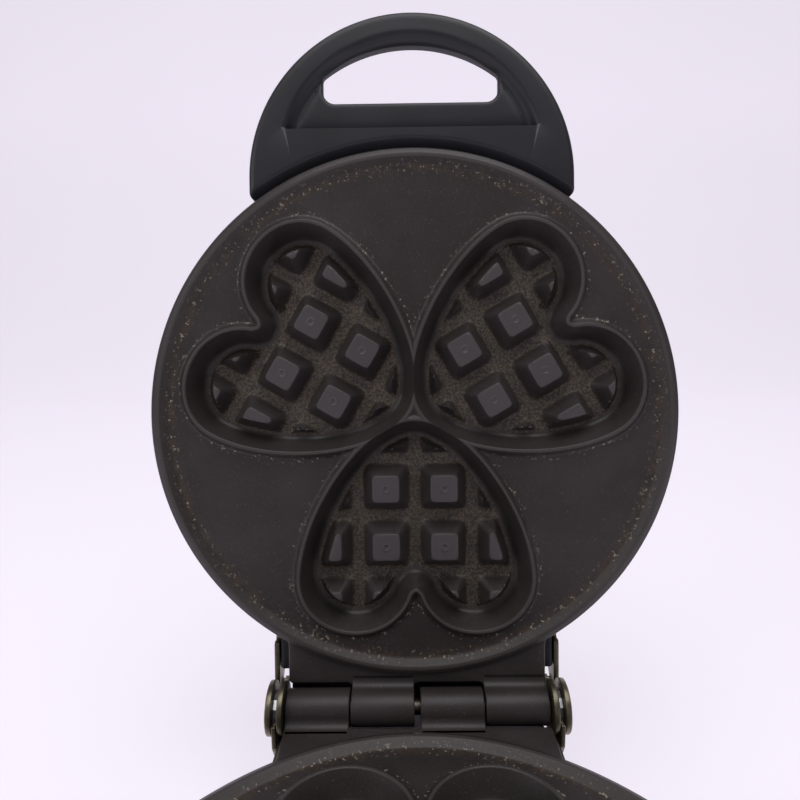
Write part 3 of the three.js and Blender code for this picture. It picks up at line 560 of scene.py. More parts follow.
def plate_face():
    """The cooking plate's disc as a solid of even wall, with a skirt."""
    chains, loose = plate_contours()
    corners, faces = plan(chains, loose, lambda p: np.hypot(p[:, 0], p[:, 1] - REACH) < PLATE_RADIUS)
    height, edge, radius = plate_height(corners)
    back = np.where(radius > PLATE_RADIUS - 2.8, -SKIRT_DEPTH, height - PLATE_WALL)
    inside = smooth_step(-edge, WALL_SLOPE + 0.5, WALL_SLOPE + 2.5)
    low = smooth_step(-height, -MOULD_FLOOR - 1.6, -MOULD_FLOOR - 0.2)
    rim_foot = np.exp(-((radius - RIM_FOOT + 0.5) / 1.8) ** 2)
    # crest marks the narrow crests of the lands and the rim, for a paler colour that is partly wear and partly a
    # painted highlight
    crest = np.where(radius < RIM_FOOT - 3, np.exp(-(np.abs(edge - LAND_CREST / 2) / 0.55) ** 4), 0)
    crest = np.maximum(crest, np.exp(-((radius - 101) / 0.8) ** 4))
    land_foot = np.where(radius < RIM_FOOT - 3, np.exp(-((edge - LAND_FOOT - 0.4) / 0.9) ** 2), 0)
    marks = {
        "crust": inside * low, "rim_crust": rim_foot, "crest_wear_and_highlight": crest, "land_crust": land_foot,
        # painted highlight: the flat stud tops are marked to be drawn paler, as if lit from above
        "painted_stud_top_light": inside * smooth_step(height, STUD_TOP - 0.5, STUD_TOP - 0.1),
    }
    marks = {key: np.concatenate([values, values * 0]) for key, values in marks.items()}
    points, faces = between(corners, faces, height, back)
    return points, faces, marks


def knuckle_spans():
    inner = KNUCKLE_MIDDLE / 2
    outer = inner + KNUCKLE_LENGTH + KNUCKLE_SIDE
    return [(-inner - KNUCKLE_LENGTH, -inner), (outer, outer + KNUCKLE_LENGTH)]


def knuckle(low, high):
    """Barrel around the pin that runs into the apron: a circle, fillets and the apron's section."""
    bottom = FIELD - APRON_THICKNESS
    upper_y = math.sqrt((KNUCKLE_RADIUS + FILLET) ** 2 - (FIELD + FILLET) ** 2)
    start = math.atan2(FIELD + FILLET, upper_y)
    lower = math.asin(bottom / KNUCKLE_RADIUS) if -bottom < KNUCKLE_RADIUS else -math.pi / 2
    barrel = arc((0, 0), KNUCKLE_RADIUS, start, 2 * math.pi + lower, 40)
    fillet = arc((upper_y, FIELD + FILLET), FILLET, math.pi * 1.5, math.pi + start, 8)
    end = RELIEF + 3
    outline = np.vstack([[[end, bottom], [end, FIELD]], fillet[:-1], barrel, [[0, bottom]]])
    return sideways(slab(outline, low, high, 0.5))


def apron():
    """Cast strip from under the plate to the knuckles, cut back around the other plate's knuckles."""
    spans = knuckle_spans()
    side = APRON_HALF
    near = RELIEF
    buried = PLATE_RADIUS - 2.3
    flare = math.asin((side + 6) / buried)
    under_rim = arc((0, REACH), buried, -math.pi / 2 - flare, -math.pi / 2 + flare, 60)
    bend_y = REACH - math.sqrt(PLATE_RADIUS ** 2 - side ** 2) + 0.5
    corners = [
        tuple(under_rim[-1]) + (0,), (side, bend_y, 5), (side, 1.0, 0.8),
        (spans[1][0], 1.0, 0.6), (spans[1][0], near, 2.0), (spans[0][1], near, 2.0),
        (spans[0][1], 1.0, 0.6), (spans[0][0], 1.0, 0.6), (spans[0][0], near, 2.0),
        (-side, near, 1.6), (-side, bend_y, 5), tuple(under_rim[0]) + (0,),
    ]
    outline = np.vstack([rounded(corners[::-1], steps=6), under_rim[-2:0:-1]])
    return slab(outline, FIELD - APRON_THICKNESS, FIELD, 0.7)


def cooking_plate():
    return [plate_face(), apron()] + [knuckle(*span) for span in knuckle_spans()]


# ---- grip --------------------------------------------------------------------------------------

def grip_outline():
    """Half circle whose ends run down to two blunt feet."""
    centre = (0, REACH + GRIP_CENTRE)
    crown = arc(centre, GRIP_RADIUS, 0, math.pi, 120)
    foot = REACH + GRIP_FOOT
    right = rounded([(GRIP_RADIUS - 12, foot, 0), (GRIP_RADIUS, foot, 3), (GRIP_RADIUS, foot + 5, 0)])
    return np.vstack([right, crown[1:], (right * [-1, 1])[::-1]])


def opening_outline():
    """Finger opening: flat below, an arch above and rounded corners."""
    low = REACH + OPENING_BOTTOM
    centre = REACH + OPENING_TOP - OPENING_ARC
    spring = math.acos(OPENING_HALF / OPENING_ARC)
    shoulder = centre + OPENING_ARC * math.sin(spring)
    crown = arc((0, centre), OPENING_ARC, spring + 0.06, math.pi - spring - 0.06, 60)
    right = rounded([
        (-20, low, 0), (OPENING_HALF, low, OPENING_CORNER), (OPENING_HALF, shoulder, 2.5),
        tuple(crown[0]) + (0,),
    ], steps=8)[1:]
    left = (right * [-1, 1])[::-1]
    return np.vstack([right, crown[1:-1], left])


def loop_distance(points, loop):
    """Distance to a closed loop, positive outside it."""
    away = np.abs(nearest(points, np.vstack([loop, loop[:1]])))
    return np.where(within(points, loop), -away, away)


def dish_distance(points):
    """How far a point is inside the scooped face, from its arc and from its straight lower edge."""
    from_arc = DISH_RADIUS - np.hypot(points[:, 0], points[:, 1] - REACH - DISH_CENTRE)
    from_line = points[:, 1] - REACH - DISH_BOTTOM
    return from_arc, from_line


def grip():
    """D-shaped grip between a front and a back height field."""
    outline, opening = grip_outline(), opening_outline()
    out_away, in_away = normals(outline), normals(opening)
    seat = PLATE_RADIUS + GAP
    chains = [(outline - out_away * inset, True) for inset in (0, 0.02, 0.15, 0.5, 1.0, 1.7, 2.6, 3.6, 4.6)]
    chains += [(opening + in_away * inset, True) for inset in (0, 0.02, 0.1, 0.35, 0.8, 1.4, 2.2, 3.0, 3.2)]
    for inset in (-0.6, 0, 0.6, 1.2, 2.0, 3.0, 4.0, 5.0, 6.0, 7.0, 8.5, 10):
        start = math.asin((DISH_BOTTOM - 0.4 - DISH_CENTRE) / (DISH_RADIUS - inset))
        line = arc((0, REACH + DISH_CENTRE), DISH_RADIUS - inset, start, math.pi - start, 90)
        chains.append((line, False))
    for rise in (-0.4, 0, 0.4, 0.8, 1.3, 2.0, 3.0, 4.5):
        half = math.sqrt(DISH_RADIUS ** 2 - (DISH_BOTTOM + rise - DISH_CENTRE) ** 2)
        across = np.linspace(-half, half, 60)
        chains.append((np.column_stack([across, np.full(60, REACH + DISH_BOTTOM + rise)]), False))
    reach = math.asin((GRIP_RADIUS + 2) / PLATE_RADIUS)
    seat_steps = [seat, seat + 0.02, seat + 1] + [GRIP_SEAT + step for step in (-1, -0.35, 0, 0.35, 1)]
    for radius in seat_steps:
        chains.append((arc((0, REACH), radius, math.pi / 2 - reach, math.pi / 2 + reach, 90), False))

    def keep(p):
        clear = np.hypot(p[:, 0], p[:, 1] - REACH) > seat
        return within(p, outline) & ~within(p, opening) & clear

    corners, faces = plan(chains, [], keep)
    rim = -loop_distance(corners, outline)
    hole = loop_distance(corners, opening)
    radius = np.hypot(corners[:, 0], corners[:, 1] - REACH)
    from_arc, from_line = dish_distance(corners)
    above_line = smooth_step(from_line, -0.3, 0.3)
    scoop = DISH_DEPTH * smooth_step(from_arc, 0, 6.5)
    ends = smooth_step(np.abs(corners[:, 0]), 20, 38)
    scoop += 2.0 * np.exp(-((from_arc - 3.2) / 1.9) ** 2) * ends
    scoop += 0.9 * np.exp(-np.clip(from_line, 0, None) / 1.6) * smooth_step(from_arc, 1, 5)
    front = GRIP_FRONT - scoop * above_line
    front -= 2.2 * (1 - np.sqrt(np.clip(1 - (1 - np.clip(rim / 2.6, 0, 1)) ** 2, 0, 1)))
    front -= 1.2 * (1 - np.sqrt(np.clip(1 - (1 - np.clip(hole / 1.4, 0, 1)) ** 2, 0, 1)))
    front = soft_min(front, GRIP_FRONT - (GRIP_SEAT - radius), 0.5)
    front = np.maximum(front, GRIP_BACK + 4)
    hollow = smooth_step(rim, GRIP_WALL, GRIP_WALL + 0.5)
    hollow *= smooth_step(corners[:, 1] - REACH, GRIP_SOLID, GRIP_SOLID + 0.4)
    back = GRIP_BACK + (GRIP_FRONT - DISH_DEPTH - GRIP_WALL - GRIP_BACK) * hollow
    back += 1.0 * (1 - smooth_step(rim, 0, 1.0))
    return [between(corners, faces, front, back)]


# ---- hinge hardware ----------------------------------------------------------------------------

def arm_edge():
    """Where an arm's lower edge touches its round tab, and its knee."""
    knee = np.array([ARM_KNEE, -ARM_TOP - ARM_WIDTH])
    turn = math.atan2(knee[1], knee[0]) - math.acos(ARM_TAB / np.hypot(*knee))
    return turn % (2 * math.pi), knee


def arm(side, inside):
    """Flat arm with a round tab, in side view."""
    turn, knee = arm_edge()
    tab = arc((0, 0), ARM_TAB, -math.asin(ARM_TOP / ARM_TAB), turn, 56)
    end = rounded([
        tuple(tab[-1]) + (0,), tuple(knee) + (6,), (ARM_LENGTH, knee[1], 1),
        (ARM_LENGTH, SHELL_TOP - GAP, 1),
        (ARM_SLOT, SHELL_TOP - GAP, 0.5), (ARM_SLOT, -ARM_TOP, 1.5), tuple(tab[0]) + (0,),
    ])
    outline = np.vstack([tab, end[1:-1]])
    faces = sorted((side * inside, side * (inside + ARM_THICKNESS)))
    return sideways(slab(outline, *faces, 0.35))


def stop_plate(side):
    """Notched plate outside the base's arm, with the lug that the lid's arm rests on."""
    turn, knee = arm_edge()
    start = ARM_TAB * np.array([math.cos(turn), math.sin(turn)])
    along = (knee - start) / np.hypot(*(knee - start))
    lug_radius = 1.5
    spot = (start + knee) / 2 + np.array([along[1], -along[0]]) * (lug_radius + GAP)
    c, s = math.cos(TILT), math.sin(TILT)
    lug_y, lug_z = -(spot[0] * c - spot[1] * s), spot[0] * s + spot[1] * c
    top, low, front, chamfer, relief = -1.0, -15.0, 10.0, 5.0, 7.5
    bend = math.asin(1 / relief)
    notch = arc((0, 0), relief, -bend, bend - math.pi, 24)
    corners = [
        (lug_y + chamfer, top, 0.5), (lug_y + chamfer / 2, lug_z + lug_radius, 0.5),
        (lug_y - chamfer / 2, lug_z + lug_radius, 0.8), (lug_y - chamfer / 2, low + chamfer, 1),
        (lug_y + chamfer, low, 1), (front - chamfer / 2, low, 1), (front, low + chamfer, 1),
        (front, top, 0.3),
    ]
    outline = np.vstack([rounded(corners, closed=True), notch])
    faces = sorted((side * STOP_INSIDE, side * (STOP_INSIDE + STOP_THICKNESS)))
    plate = sideways(slab(outline, *faces, 0.25))
    reach = STOP_THICKNESS + GAP + ARM_THICKNESS
    lug = turned([
        (0, 0), (lug_radius, 0), (lug_radius, reach - 0.3), (lug_radius - 0.3, reach), (0, reach),
    ], sides=24)
    p = lug[0]
    lug = (np.column_stack([side * (STOP_INSIDE + p[:, 2]), lug_y + p[:, 0], lug_z + p[:, 1]]), lug[1])
    return [plate, lug]


def hinge_pin():
    """Plain pin with chamfered ends that stand a little past the arms."""
    end = PIN_END
    profile = [(0, -end), (PIN_RADIUS - 0.5, -end), (PIN_RADIUS, -end + 0.4), (PIN_RADIUS, end - 0.4),
               (PIN_RADIUS - 0.5, end), (0, end)]
    p, faces = turned(profile, sides=40)
    return [(np.column_stack([p[:, 2], p[:, 0], p[:, 1]]), faces)]


def screw_head(height, tip):
    """Screw along z with a domed head, its top at z = -height, and a cross recess."""
    steps = np.linspace(-1, 1, 41) * HEAD_RADIUS
    x, y = (a.ravel() for a in np.meshgrid(steps, steps))
    squash = HEAD_RADIUS * np.maximum(np.abs(x), np.abs(y)) / np.maximum(np.hypot(x, y), 1e-9)
    scale = np.where(np.hypot(x, y) > 0, squash / HEAD_RADIUS, 1)
    x, y = x * scale, y * scale
    away = np.hypot(x, y)
    dome = height * np.sqrt(np.clip(1 - (away / HEAD_RADIUS) ** 3.2, 0, 1))
    slot = np.minimum(np.abs(x), np.abs(y))
    recess = min(1.2, height * 0.8) * (1 - smooth_step(slot, 0.3, 0.55)) * (1 - smooth_step(away, 1.5, 2.1))
    top = -np.maximum(dome - recess, 0)
    head = between(np.column_stack([x, y]), grid_faces(41, 41, False), top, np.zeros(len(x)))
    shank = turned([(0, -0.2), (1.8, -0.2), (1.8, tip - 1), (1, tip), (0, tip)], sides=20)
    return [head, shank]


def moved(shells, x, y, z):
    return [(p + [x, y, z], f) for p, f in shells]


def facing_x(shells, side, x, y, z):
    """Turns shells drawn about z so that their low end faces outwards along x."""
    return [(np.column_stack([x - side * p[:, 2], y + p[:, 0], z + p[:, 1]]), f) for p, f in shells]


# ---- housings ----------------------------------------------------------------------------------

def post_places():
    return [arc((0, REACH), POST_RING, math.radians(a), 0, 1)[0] for a in POST_ANGLES]


def bowl_profiles(depth):
    """Outer and inner surface of a bowl as radius and z: a flat floor, a full shoulder, an upright side."""
    outer = rounded([
        (0, -depth, 0), (SHELL_RADIUS - 0.6, -depth, SHOULDER),
        (SHELL_RADIUS - 0.3, SHELL_TOP - STRAIGHT_SIDE, 0), (SHELL_RADIUS, SHELL_TOP, 0),
    ], steps=14)
    inner = outer - SHELL_WALL * normals(outer, closed=False)
    return outer, inner


def bowl(depth, slots=(), dial=None):
    """A housing's bowl between two height fields: floor and side outside, the same less the wall
    inside, with posts for the screws, their sockets, and slots cut right through."""
    outer, inner = bowl_profiles(depth)
    socket, post = HEAD_RADIUS + GAP, 5.0
    chains = [(ring(radius, 180), True) for radius in outer[1:, 0]]
    inner_edge = SHELL_RADIUS - SHELL_WALL
    chains += [(ring(radius, 180), True) for radius in (inner_edge, inner_edge - 0.05)]
    for place_of_post in post_places():
        for radius in (socket, socket - 0.05, socket + 0.4, post, post + 0.05):
            chains.append((ring(radius, 32, place_of_post), True))
    chains += [(slot, True) for slot in slots]
    if dial is not None:
        chains += [(ring(radius, 72, dial), True) for radius in (18.6, 19.0, 19.5, 20.0, 20.4)]
        for pip in dial_pips(dial):
            chains += [(ring(radius, 12, pip), True) for radius in (0.3, 0.6, 0.85, 1.0)]

    def keep(p):
        solid = np.hypot(p[:, 0], p[:, 1] - REACH) < SHELL_RADIUS
        for slot in slots:
            solid &= ~within(p, slot)
        return solid

    corners, faces = plan(chains, [], keep)
    radius = np.hypot(corners[:, 0], corners[:, 1] - REACH)
    outside = np.interp(radius, outer[:, 0], outer[:, 1])
    inside = np.interp(radius, inner[:, 0], inner[:, 1])
    inside = np.where(radius > inner_edge - 0.01, SHELL_TOP, inside)
    for place_of_post in post_places():
        away = np.hypot(*(corners - place_of_post).T)
        inside = np.where(away < post + 0.01, -15.0, inside)
        outside = np.where(away < socket - 0.02, HEAD_RECESS - depth, outside)
        outside += 0.35 * (1 - smooth_step(away, socket, socket + 0.4)) * (away > socket - 0.02)
    if dial is not None:
        away = np.hypot(*(corners - dial).T)
        outside += 0.9 * (1 - smooth_step(away, 18.8, 20.2))
        for pip in dial_pips(dial):
            near = np.hypot(*(corners - pip).T)
            outside -= 0.45 * np.sqrt(np.clip(1 - near ** 2, 0, 1))
    return between(corners, faces, outside, inside)


def dial_pips(dial):
    """Raised dots on an arc around the knob."""
    return arc(dial, 24, math.radians(-45), math.radians(225), 7)


def lid_neck():
    """Neck from the lid's bowl to the hinge, and the guard that closes the gaps between the knuckles."""
    half = LID_ARM - GAP
    depth = DEPTH["lid"]
    face = FIELD - APRON_THICKNESS - GAP
    outline = rounded([
        (NECK_END, face, 0.6), (NECK_END, CHAMFER - depth, 4), (NECK_END + CHAMFER, -depth, 5),
        (REACH / 2, -depth, 0), (REACH / 2, SHELL_TOP - 1, 0), (ROOT_END, SHELL_TOP - 1, 0.5),
        (ROOT_END, face, 0.5),
    ], closed=True)
    guard = rounded([
        (GUARD_END, face, 0.8), (GUARD_END, face - SHELL_WALL, 0.8), (NECK_END + 1, face - SHELL_WALL, 0),
        (NECK_END + 1, face, 0),
    ], closed=True)
    return [
        sideways(slab(outline, -half, half, 1.5, 4)),
        sideways(slab(guard, -APRON_HALF, APRON_HALF, 0.4)),
    ]


def hinge_block():
    """Block behind the base's bowl that carries the hinge and the rear feet."""
    half = BASE_ARM - GAP
    depth = DEPTH["base"]
    face = FIELD - APRON_THICKNESS - GAP
    outline = rounded([
        (-BLOCK_BACK, BLOCK_TOP, 1.5), (-BLOCK_BACK, CHAMFER - depth, 4), (CHAMFER - BLOCK_BACK, -depth, 4),
        (REACH / 2, -depth, 0), (REACH / 2, SHELL_TOP - 1, 0), (ROOT_END, SHELL_TOP - 1, 0.5),
        (ROOT_END, face, 0.5), (BLOCK_STEP, face, 0.8), (BLOCK_STEP, BLOCK_TOP, 0.8),
    ], closed=True)
    return [sideways(slab(outline, -half, half, 1.5, 4))]


def vent_slots():
    """Slots with round ends in a ring through the base's floor."""
    slots = []
    for i in range(VENT_COUNT):
        angle = i * 2 * math.pi / VENT_COUNT
        ahead = np.array([math.cos(angle), math.sin(angle)])
        ends = []
        for side in (1, -1):
            centre = (0, REACH) + ahead * (VENT_RING + side * (VENT_LENGTH - VENT_WIDTH) / 2)
            start = angle - side * math.pi / 2
            ends.append(arc(centre, VENT_WIDTH / 2, start, start + math.pi, 10))
        slots.append(np.vstack(ends))
    return slots


# ---- knob, lamps, feet, bushes and lead --------------------------------------------------------

def knob():
    """Fluted knob with a raised pointer: the flutes are a cosine of the angle, deepest at mid height."""
    near, radius, height = -DEPTH["lid"] - 0.6, 17.0, 14.0
    far = near - height
    profile = rounded([
        (0, near, 0), (radius, near, 0.6), (radius, near - 3, 0.8), (radius - 2.5, near - 4.5, 1.5),
        (radius - 4, far, 1.8), (0, far, 0),
    ], steps=6)

    def flutes(angle, z):
        share = smooth_step(near - z, 4.2, 7) * (1 - smooth_step(near - z, height - 2.5, height))
        return 1 - 0.055 * share * (0.5 + 0.5 * np.cos(20 * angle)) ** 2

    body = turned(profile, DIAL, 160, flutes)
    length = radius - 5
    tip = rounded([(-1.5, 0, 1.4), (1.5, 0, 1.4), (1.5, length, 0.8), (-1.5, length, 0.8)], closed=True)
    pointer = slab(tip + DIAL, far - 1.2, far + 1, 0.5)
    return [body, pointer]


def lamp(side):
    """Lamp with a thin flange and a domed lens."""
    face = -DEPTH["lid"] - GAP
    profile = rounded([
        (0, face + 8, 0), (4, face + 8, 0), (4, face, 0), (5.2, face, 0.2), (5.2, face - 1, 0.5),
        (4.1, face - 1, 0.2), (3.9, face - 2, 1.6), (0, face - 2.0, 0),
    ])
    return [turned(profile, (side * LAMP_X, LAMP_Y), 48)]


def foot(spot):
    """Tapered rubber foot with a rounded sole that has a groove."""
    top, sole = -DEPTH["base"] - GAP, -DEPTH["base"] - FOOT_HEIGHT
    profile = rounded([
        (0, sole + 0.4, 0), (4, sole + 0.4, 0.2), (4.4, sole, 0.2), (FOOT_RADIUS, sole, 1.5),
        (FOOT_RADIUS - 0.5, top, 0.4), (0, top, 0),
    ])
    return [turned(profile, spot, 64)]


def bush(radius, bore, x, wall, z):
    """Bush in a wall that faces -y, its rim rounded, with a way through."""
    out = 1.6
    profile = rounded([
        (bore, 7, 0), (bore, -out, 0.6), (radius + out, -out, 0.8), (radius + out, 0, 0.3), (radius, 0, 0),
        (radius, 7, 0),
    ])
    points, faces = turned(np.vstack([profile, profile[:1]]), sides=48)
    return [along_y((points, faces), x, wall - GAP, z)]


def lead_line():
    """Middle of the lead in (y, z) of the lid's half frame at rest, through its chosen points."""
    c, s = math.cos(TILT), math.sin(TILT)
    reaches = (NECK_END - 7, NECK_END, NECK_END + 6)
    in_lid = [(y * c + LEAD_DROP * s, y * s - LEAD_DROP * c) for y in reaches]
    knots = np.array([
        (BLOCK_BACK - 6, -LEAD_DROP), (BLOCK_BACK, -LEAD_DROP), (BLOCK_BACK + 6, -LEAD_DROP),
        (LEAD_BULGE - 2, -LEAD_DROP * 0.7), (LEAD_BULGE, -LEAD_DROP * 0.3), *in_lid,
    ])
    padded = np.vstack([2 * knots[0] - knots[1], knots, 2 * knots[-1] - knots[-2]])
    line = []
    for i in range(len(knots) - 1):
        t = np.linspace(0, 1, 16, endpoint=False)[:, None]
        p0, p1, p2, p3 = padded[i:i + 4]
        bend = (2 * p0 - 5 * p1 + 4 * p2 - p3) * t ** 2 + (3 * p1 - p0 - 3 * p2 + p3) * t ** 3
        line.append(p1 + 0.5 * ((p2 - p0) * t + bend))
    return np.vstack([*line, knots[-1:]])


def lead():
    """Sleeved lead from the base's bush up to the lid's: a round section carried along a line in one
    plane. Its map runs along it and around it, in millimetres."""
    line = lead_line()
    sides = 24
    across = normals(line, closed=False)
    angles = np.linspace(0, 2 * math.pi, sides + 1)
    swell = LEAD_RADIUS * np.cos(angles)
    flat = line[:, None] + across[:, None] * swell[None, :, None]
    x = np.broadcast_to(LEAD_X + LEAD_RADIUS * np.sin(angles), flat.shape[:2])
    points = HINGE + MM * np.concatenate([x[..., None], flat], 2).reshape(-1, 3)
    length = np.concatenate([[0], np.cumsum(np.hypot(*np.diff(line, axis=0).T))])
    chart = np.stack(np.broadcast_arrays(length[:, None], angles * LEAD_RADIUS), 2).reshape(-1, 2)
    faces = grid_faces(len(line), sides + 1, wrap=False)
    fan = np.column_stack([np.zeros(sides - 2, int), np.arange(1, sides - 1), np.arange(2, sides)])
    ends = np.vstack([fan[:, ::-1], fan + (len(line) - 1) * (sides + 1)])
    mesh = bpy.data.meshes.new("lid_supply_lead")
    mesh.from_pydata(points.tolist(), [], np.vstack([faces, ends]).tolist())
    loops = np.vstack([faces, ends]).ravel()
    mesh.uv_layers.new(name="sleeve").data.foreach_set("uv", chart[loops].ravel())
    shape = bmesh.new()
    shape.from_mesh(mesh)
    bmesh.ops.remove_doubles(shape, verts=shape.verts, dist=0.00001)
    bmesh.ops.recalc_face_normals(shape, faces=shape.faces)
    shape.to_mesh(mesh)
    shape.free()
    mesh.shade_smooth()
    mesh.set_sharp_from_angle(angle=math.radians(50))
    mesh.materials.append(BRAID)
    piece = bpy.data.objects.new("lid_supply_lead", mesh)
    bpy.context.scene.collection.objects.link(piece)
    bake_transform(piece)
    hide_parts("lid_lead")


# ---- colours and materials ---------------------------------------------------------------------

def linear(hex_colour):
    """sRGB hex to linear RGBA."""
    parts = [int(hex_colour[i:i + 2], 16) / 255 for i in (1, 3, 5)]
    return [c / 12.92 if c <= 0.04045 else ((c + 0.055) / 1.055) ** 2.4 for c in parts] + [1.0]


def add(tree, kind, links=(), **settings):
    """Adds a node, sets its properties or inputs by name and links its inputs."""
    node = tree.nodes.new("ShaderNode" + kind)
    for key, value in settings.items():
        if hasattr(node, key):
            setattr(node, key, value)
        else:
            node.inputs[key.replace("_", " ")].default_value = value
    for socket, source in dict(links).items():
        tree.links.new(source, node.inputs[socket])
    return node


def new_material(name, **shader):
    """A material with one principled shader, its constants set on the shader itself."""
    material = bpy.data.materials.new(name)
    material.use_nodes = True
    tree = material.node_tree
    surface = next(n for n in tree.nodes if n.type == "BSDF_PRINCIPLED")
    for key, value in shader.items():
        surface.inputs[key.replace("_", " ")].default_value = value
    where = tree.nodes.new("ShaderNodeTexCoord").outputs["Object"]
    return material, tree, surface, where


def noise(tree, where, size_mm, detail=3.0, roughness=0.55):
    """Noise whose lumps are about size_mm across."""
    return add(tree, "TexNoise", {"Vector": where}, Scale=1 / (size_mm * MM), Detail=detail,
               Roughness=roughness).outputs["Fac"]


def ramp(tree, source, low, high):
    """0 below low, 1 above high, smooth between."""
    node = add(tree, "MapRange", {"Value": source}, interpolation_type="SMOOTHSTEP")
    node.inputs["From Min"].default_value = low
    node.inputs["From Max"].default_value = high
    return node.outputs["Result"]


def times(tree, a, b, operation="MULTIPLY"):
    node = add(tree, "Math", operation=operation)
    for i, value in enumerate((a, b)):
        if isinstance(value, (int, float)):
            node.inputs[i].default_value = value
        else:
            tree.links.new(value, node.inputs[i])
    return node.outputs[0]


def mix(tree, factor, low, high):
    """Blends two colours; each is a hex string or a socket."""
    node = add(tree, "Mix", data_type="RGBA")
    tree.links.new(factor, node.inputs[0])
    for i, value in ((6, low), (7, high)):
        if isinstance(value, str):
            node.inputs[i].default_value = linear(value)
        else:
            tree.links.new(value, node.inputs[i])
    return node.outputs[2]


def bump(tree, surface, height, depth_mm, strength=1.0):
    """Bump of a real depth, added under any that the shader has already."""
    before = surface.inputs["Normal"].links
    links = {"Height": height}
    if before:
        links["Normal"] = before[0].from_socket
    node = add(tree, "Bump", links, Strength=strength, Distance=depth_mm * MM)
    tree.links.new(node.outputs["Normal"], surface.inputs["Normal"])


def mark(tree, name):
    return add(tree, "Attribute", attribute_name=name).outputs["Fac"]


def non_stick_coating():
    """PTFE coating sprayed on cast aluminium: dull, warm dark grey, with the grain of the spray, brown
    baked oil in the valleys and along the rim, pale crests that show wear and a painted highlight,
    and stud tops made paler by a painted highlight."""
    material, tree, surface, where = new_material(
        "ptfe_on_cast_aluminium", IOR=1.5, Specular_IOR_Level=0.36)
    grain = noise(tree, where, 0.55, 2)
    cloud = noise(tree, where, 28, 4)
    colour = mix(tree, ramp(tree, cloud, 0.35, 0.7), "#2c2827", "#352f2f")
    colour = mix(tree, ramp(tree, grain, 0.62, 0.78), colour, "#5a5452")
    # painted highlight: the stud tops are lightened as if they caught the light
    colour = mix(tree, times(tree, mark(tree, "painted_stud_top_light"), 0.4), colour, "#5e595b")
    patch = ramp(tree, noise(tree, where, 5, 5, 0.7), 0.36, 0.62)
    fleck = ramp(tree, noise(tree, where, 0.9, 3), 0.40, 0.62)
    crust = times(tree, mark(tree, "crust"), times(tree, patch, 0.8))
    colour = mix(tree, crust, colour, "#3d3429")
    speck = times(tree, times(tree, mark(tree, "crust"), 0.55), fleck)
    colour = mix(tree, speck, colour, "#6b6152")
    rim = times(tree, mark(tree, "rim_crust"), times(tree, patch, 0.7))
    colour = mix(tree, rim, colour, "#453a30")
    crumbs = ramp(tree, noise(tree, where, 1.3, 2), 0.6, 0.7)
    edge = times(tree, mark(tree, "rim_crust"), mark(tree, "land_crust"), "MAXIMUM")
    colour = mix(tree, times(tree, times(tree, edge, crumbs), 0.7), colour, "#a39a88")
    # paler crests: partly wear, partly a painted highlight along the rounded tops
    colour = mix(tree, times(tree, mark(tree, "crest_wear_and_highlight"), 0.3), colour, "#5d5856")
    tree.links.new(colour, surface.inputs["Base Color"])
    rough = add(tree, "MapRange", {"Value": cloud})
    rough.inputs["To Min"].default_value = 0.36
    rough.inputs["To Max"].default_value = 0.5
    tree.links.new(rough.outputs["Result"], surface.inputs["Roughness"])
    bump(tree, surface, grain, 0.05, 0.5)
    bump(tree, surface, times(tree, fleck, mark(tree, "crust")), 0.12, 0.6)
    return material


def phenolic():
    """Compression-moulded phenolic resin: blue-black, satin, with a very fine leather-like skin."""
    material, tree, surface, where = new_material("moulded_phenolic", IOR=1.55, Specular_IOR_Level=0.4)
    skin = noise(tree, where, 0.45, 2)
    haze = noise(tree, where, 22, 4)
    colour = mix(tree, ramp(tree, haze, 0.3, 0.75), "#15161b", "#1b1c23")
    tree.links.new(colour, surface.inputs["Base Color"])
    rough = add(tree, "MapRange", {"Value": haze})
    rough.inputs["To Min"].default_value = 0.38
    rough.inputs["To Max"].default_value = 0.5
    tree.links.new(rough.outputs["Result"], surface.inputs["Roughness"])
    bump(tree, surface, skin, 0.03, 0.4)
    return material


def housing_plastic():
    """Injection-moulded heat-resistant polyester: black with a spark-eroded satin grain."""
    material, tree, surface, where = new_material("spark_grained_pbt", IOR=1.5, Specular_IOR_Level=0.3)
    grain = noise(tree, where, 0.7, 3)
    haze = noise(tree, where, 30, 3)
    colour = mix(tree, ramp(tree, haze, 0.3, 0.7), "#131417", "#1a1b1e")
    tree.links.new(colour, surface.inputs["Base Color"])
    rough = add(tree, "MapRange", {"Value": haze})
    rough.inputs["To Min"].default_value = 0.42
    rough.inputs["To Max"].default_value = 0.55
    tree.links.new(rough.outputs["Result"], surface.inputs["Roughness"])
    bump(tree, surface, grain, 0.05, 0.5)
    return material


def passivated_steel():
    """Zinc-plated steel strip, yellow-passivated: grey with an olive cast, brown rust where it stains."""
    material, tree, surface, where = new_material("yellow_passivated_steel", Metallic=0.85)
    film = noise(tree, where, 9, 4)
    colour = mix(tree, ramp(tree, film, 0.35, 0.65), "#5f594a", "#787160")
    rust = ramp(tree, noise(tree, where, 5, 6, 0.7), 0.56, 0.7)
    colour = mix(tree, times(tree, rust, 0.7), colour, "#50361f")
    tree.links.new(colour, surface.inputs["Base Color"])
    tree.links.new(add(tree, "MapRange", {"Value": rust}, To_Min=0.34, To_Max=0.7).outputs["Result"],
                   surface.inputs["Roughness"])
    bump(tree, surface, noise(tree, where, 0.8, 3), 0.03, 0.4)
    return material


def metal(name, light, dark, roughness, size_mm):
    """Plated or heat-dulled steel: two tones in soft patches."""
    material, tree, surface, where = new_material(name, Metallic=1.0, Roughness=roughness)
    patch = ramp(tree, noise(tree, where, size_mm, 4), 0.35, 0.65)
    tree.links.new(mix(tree, patch, dark, light), surface.inputs["Base Color"])
    bump(tree, surface, noise(tree, where, 0.6, 2), 0.02, 0.3)
    return material


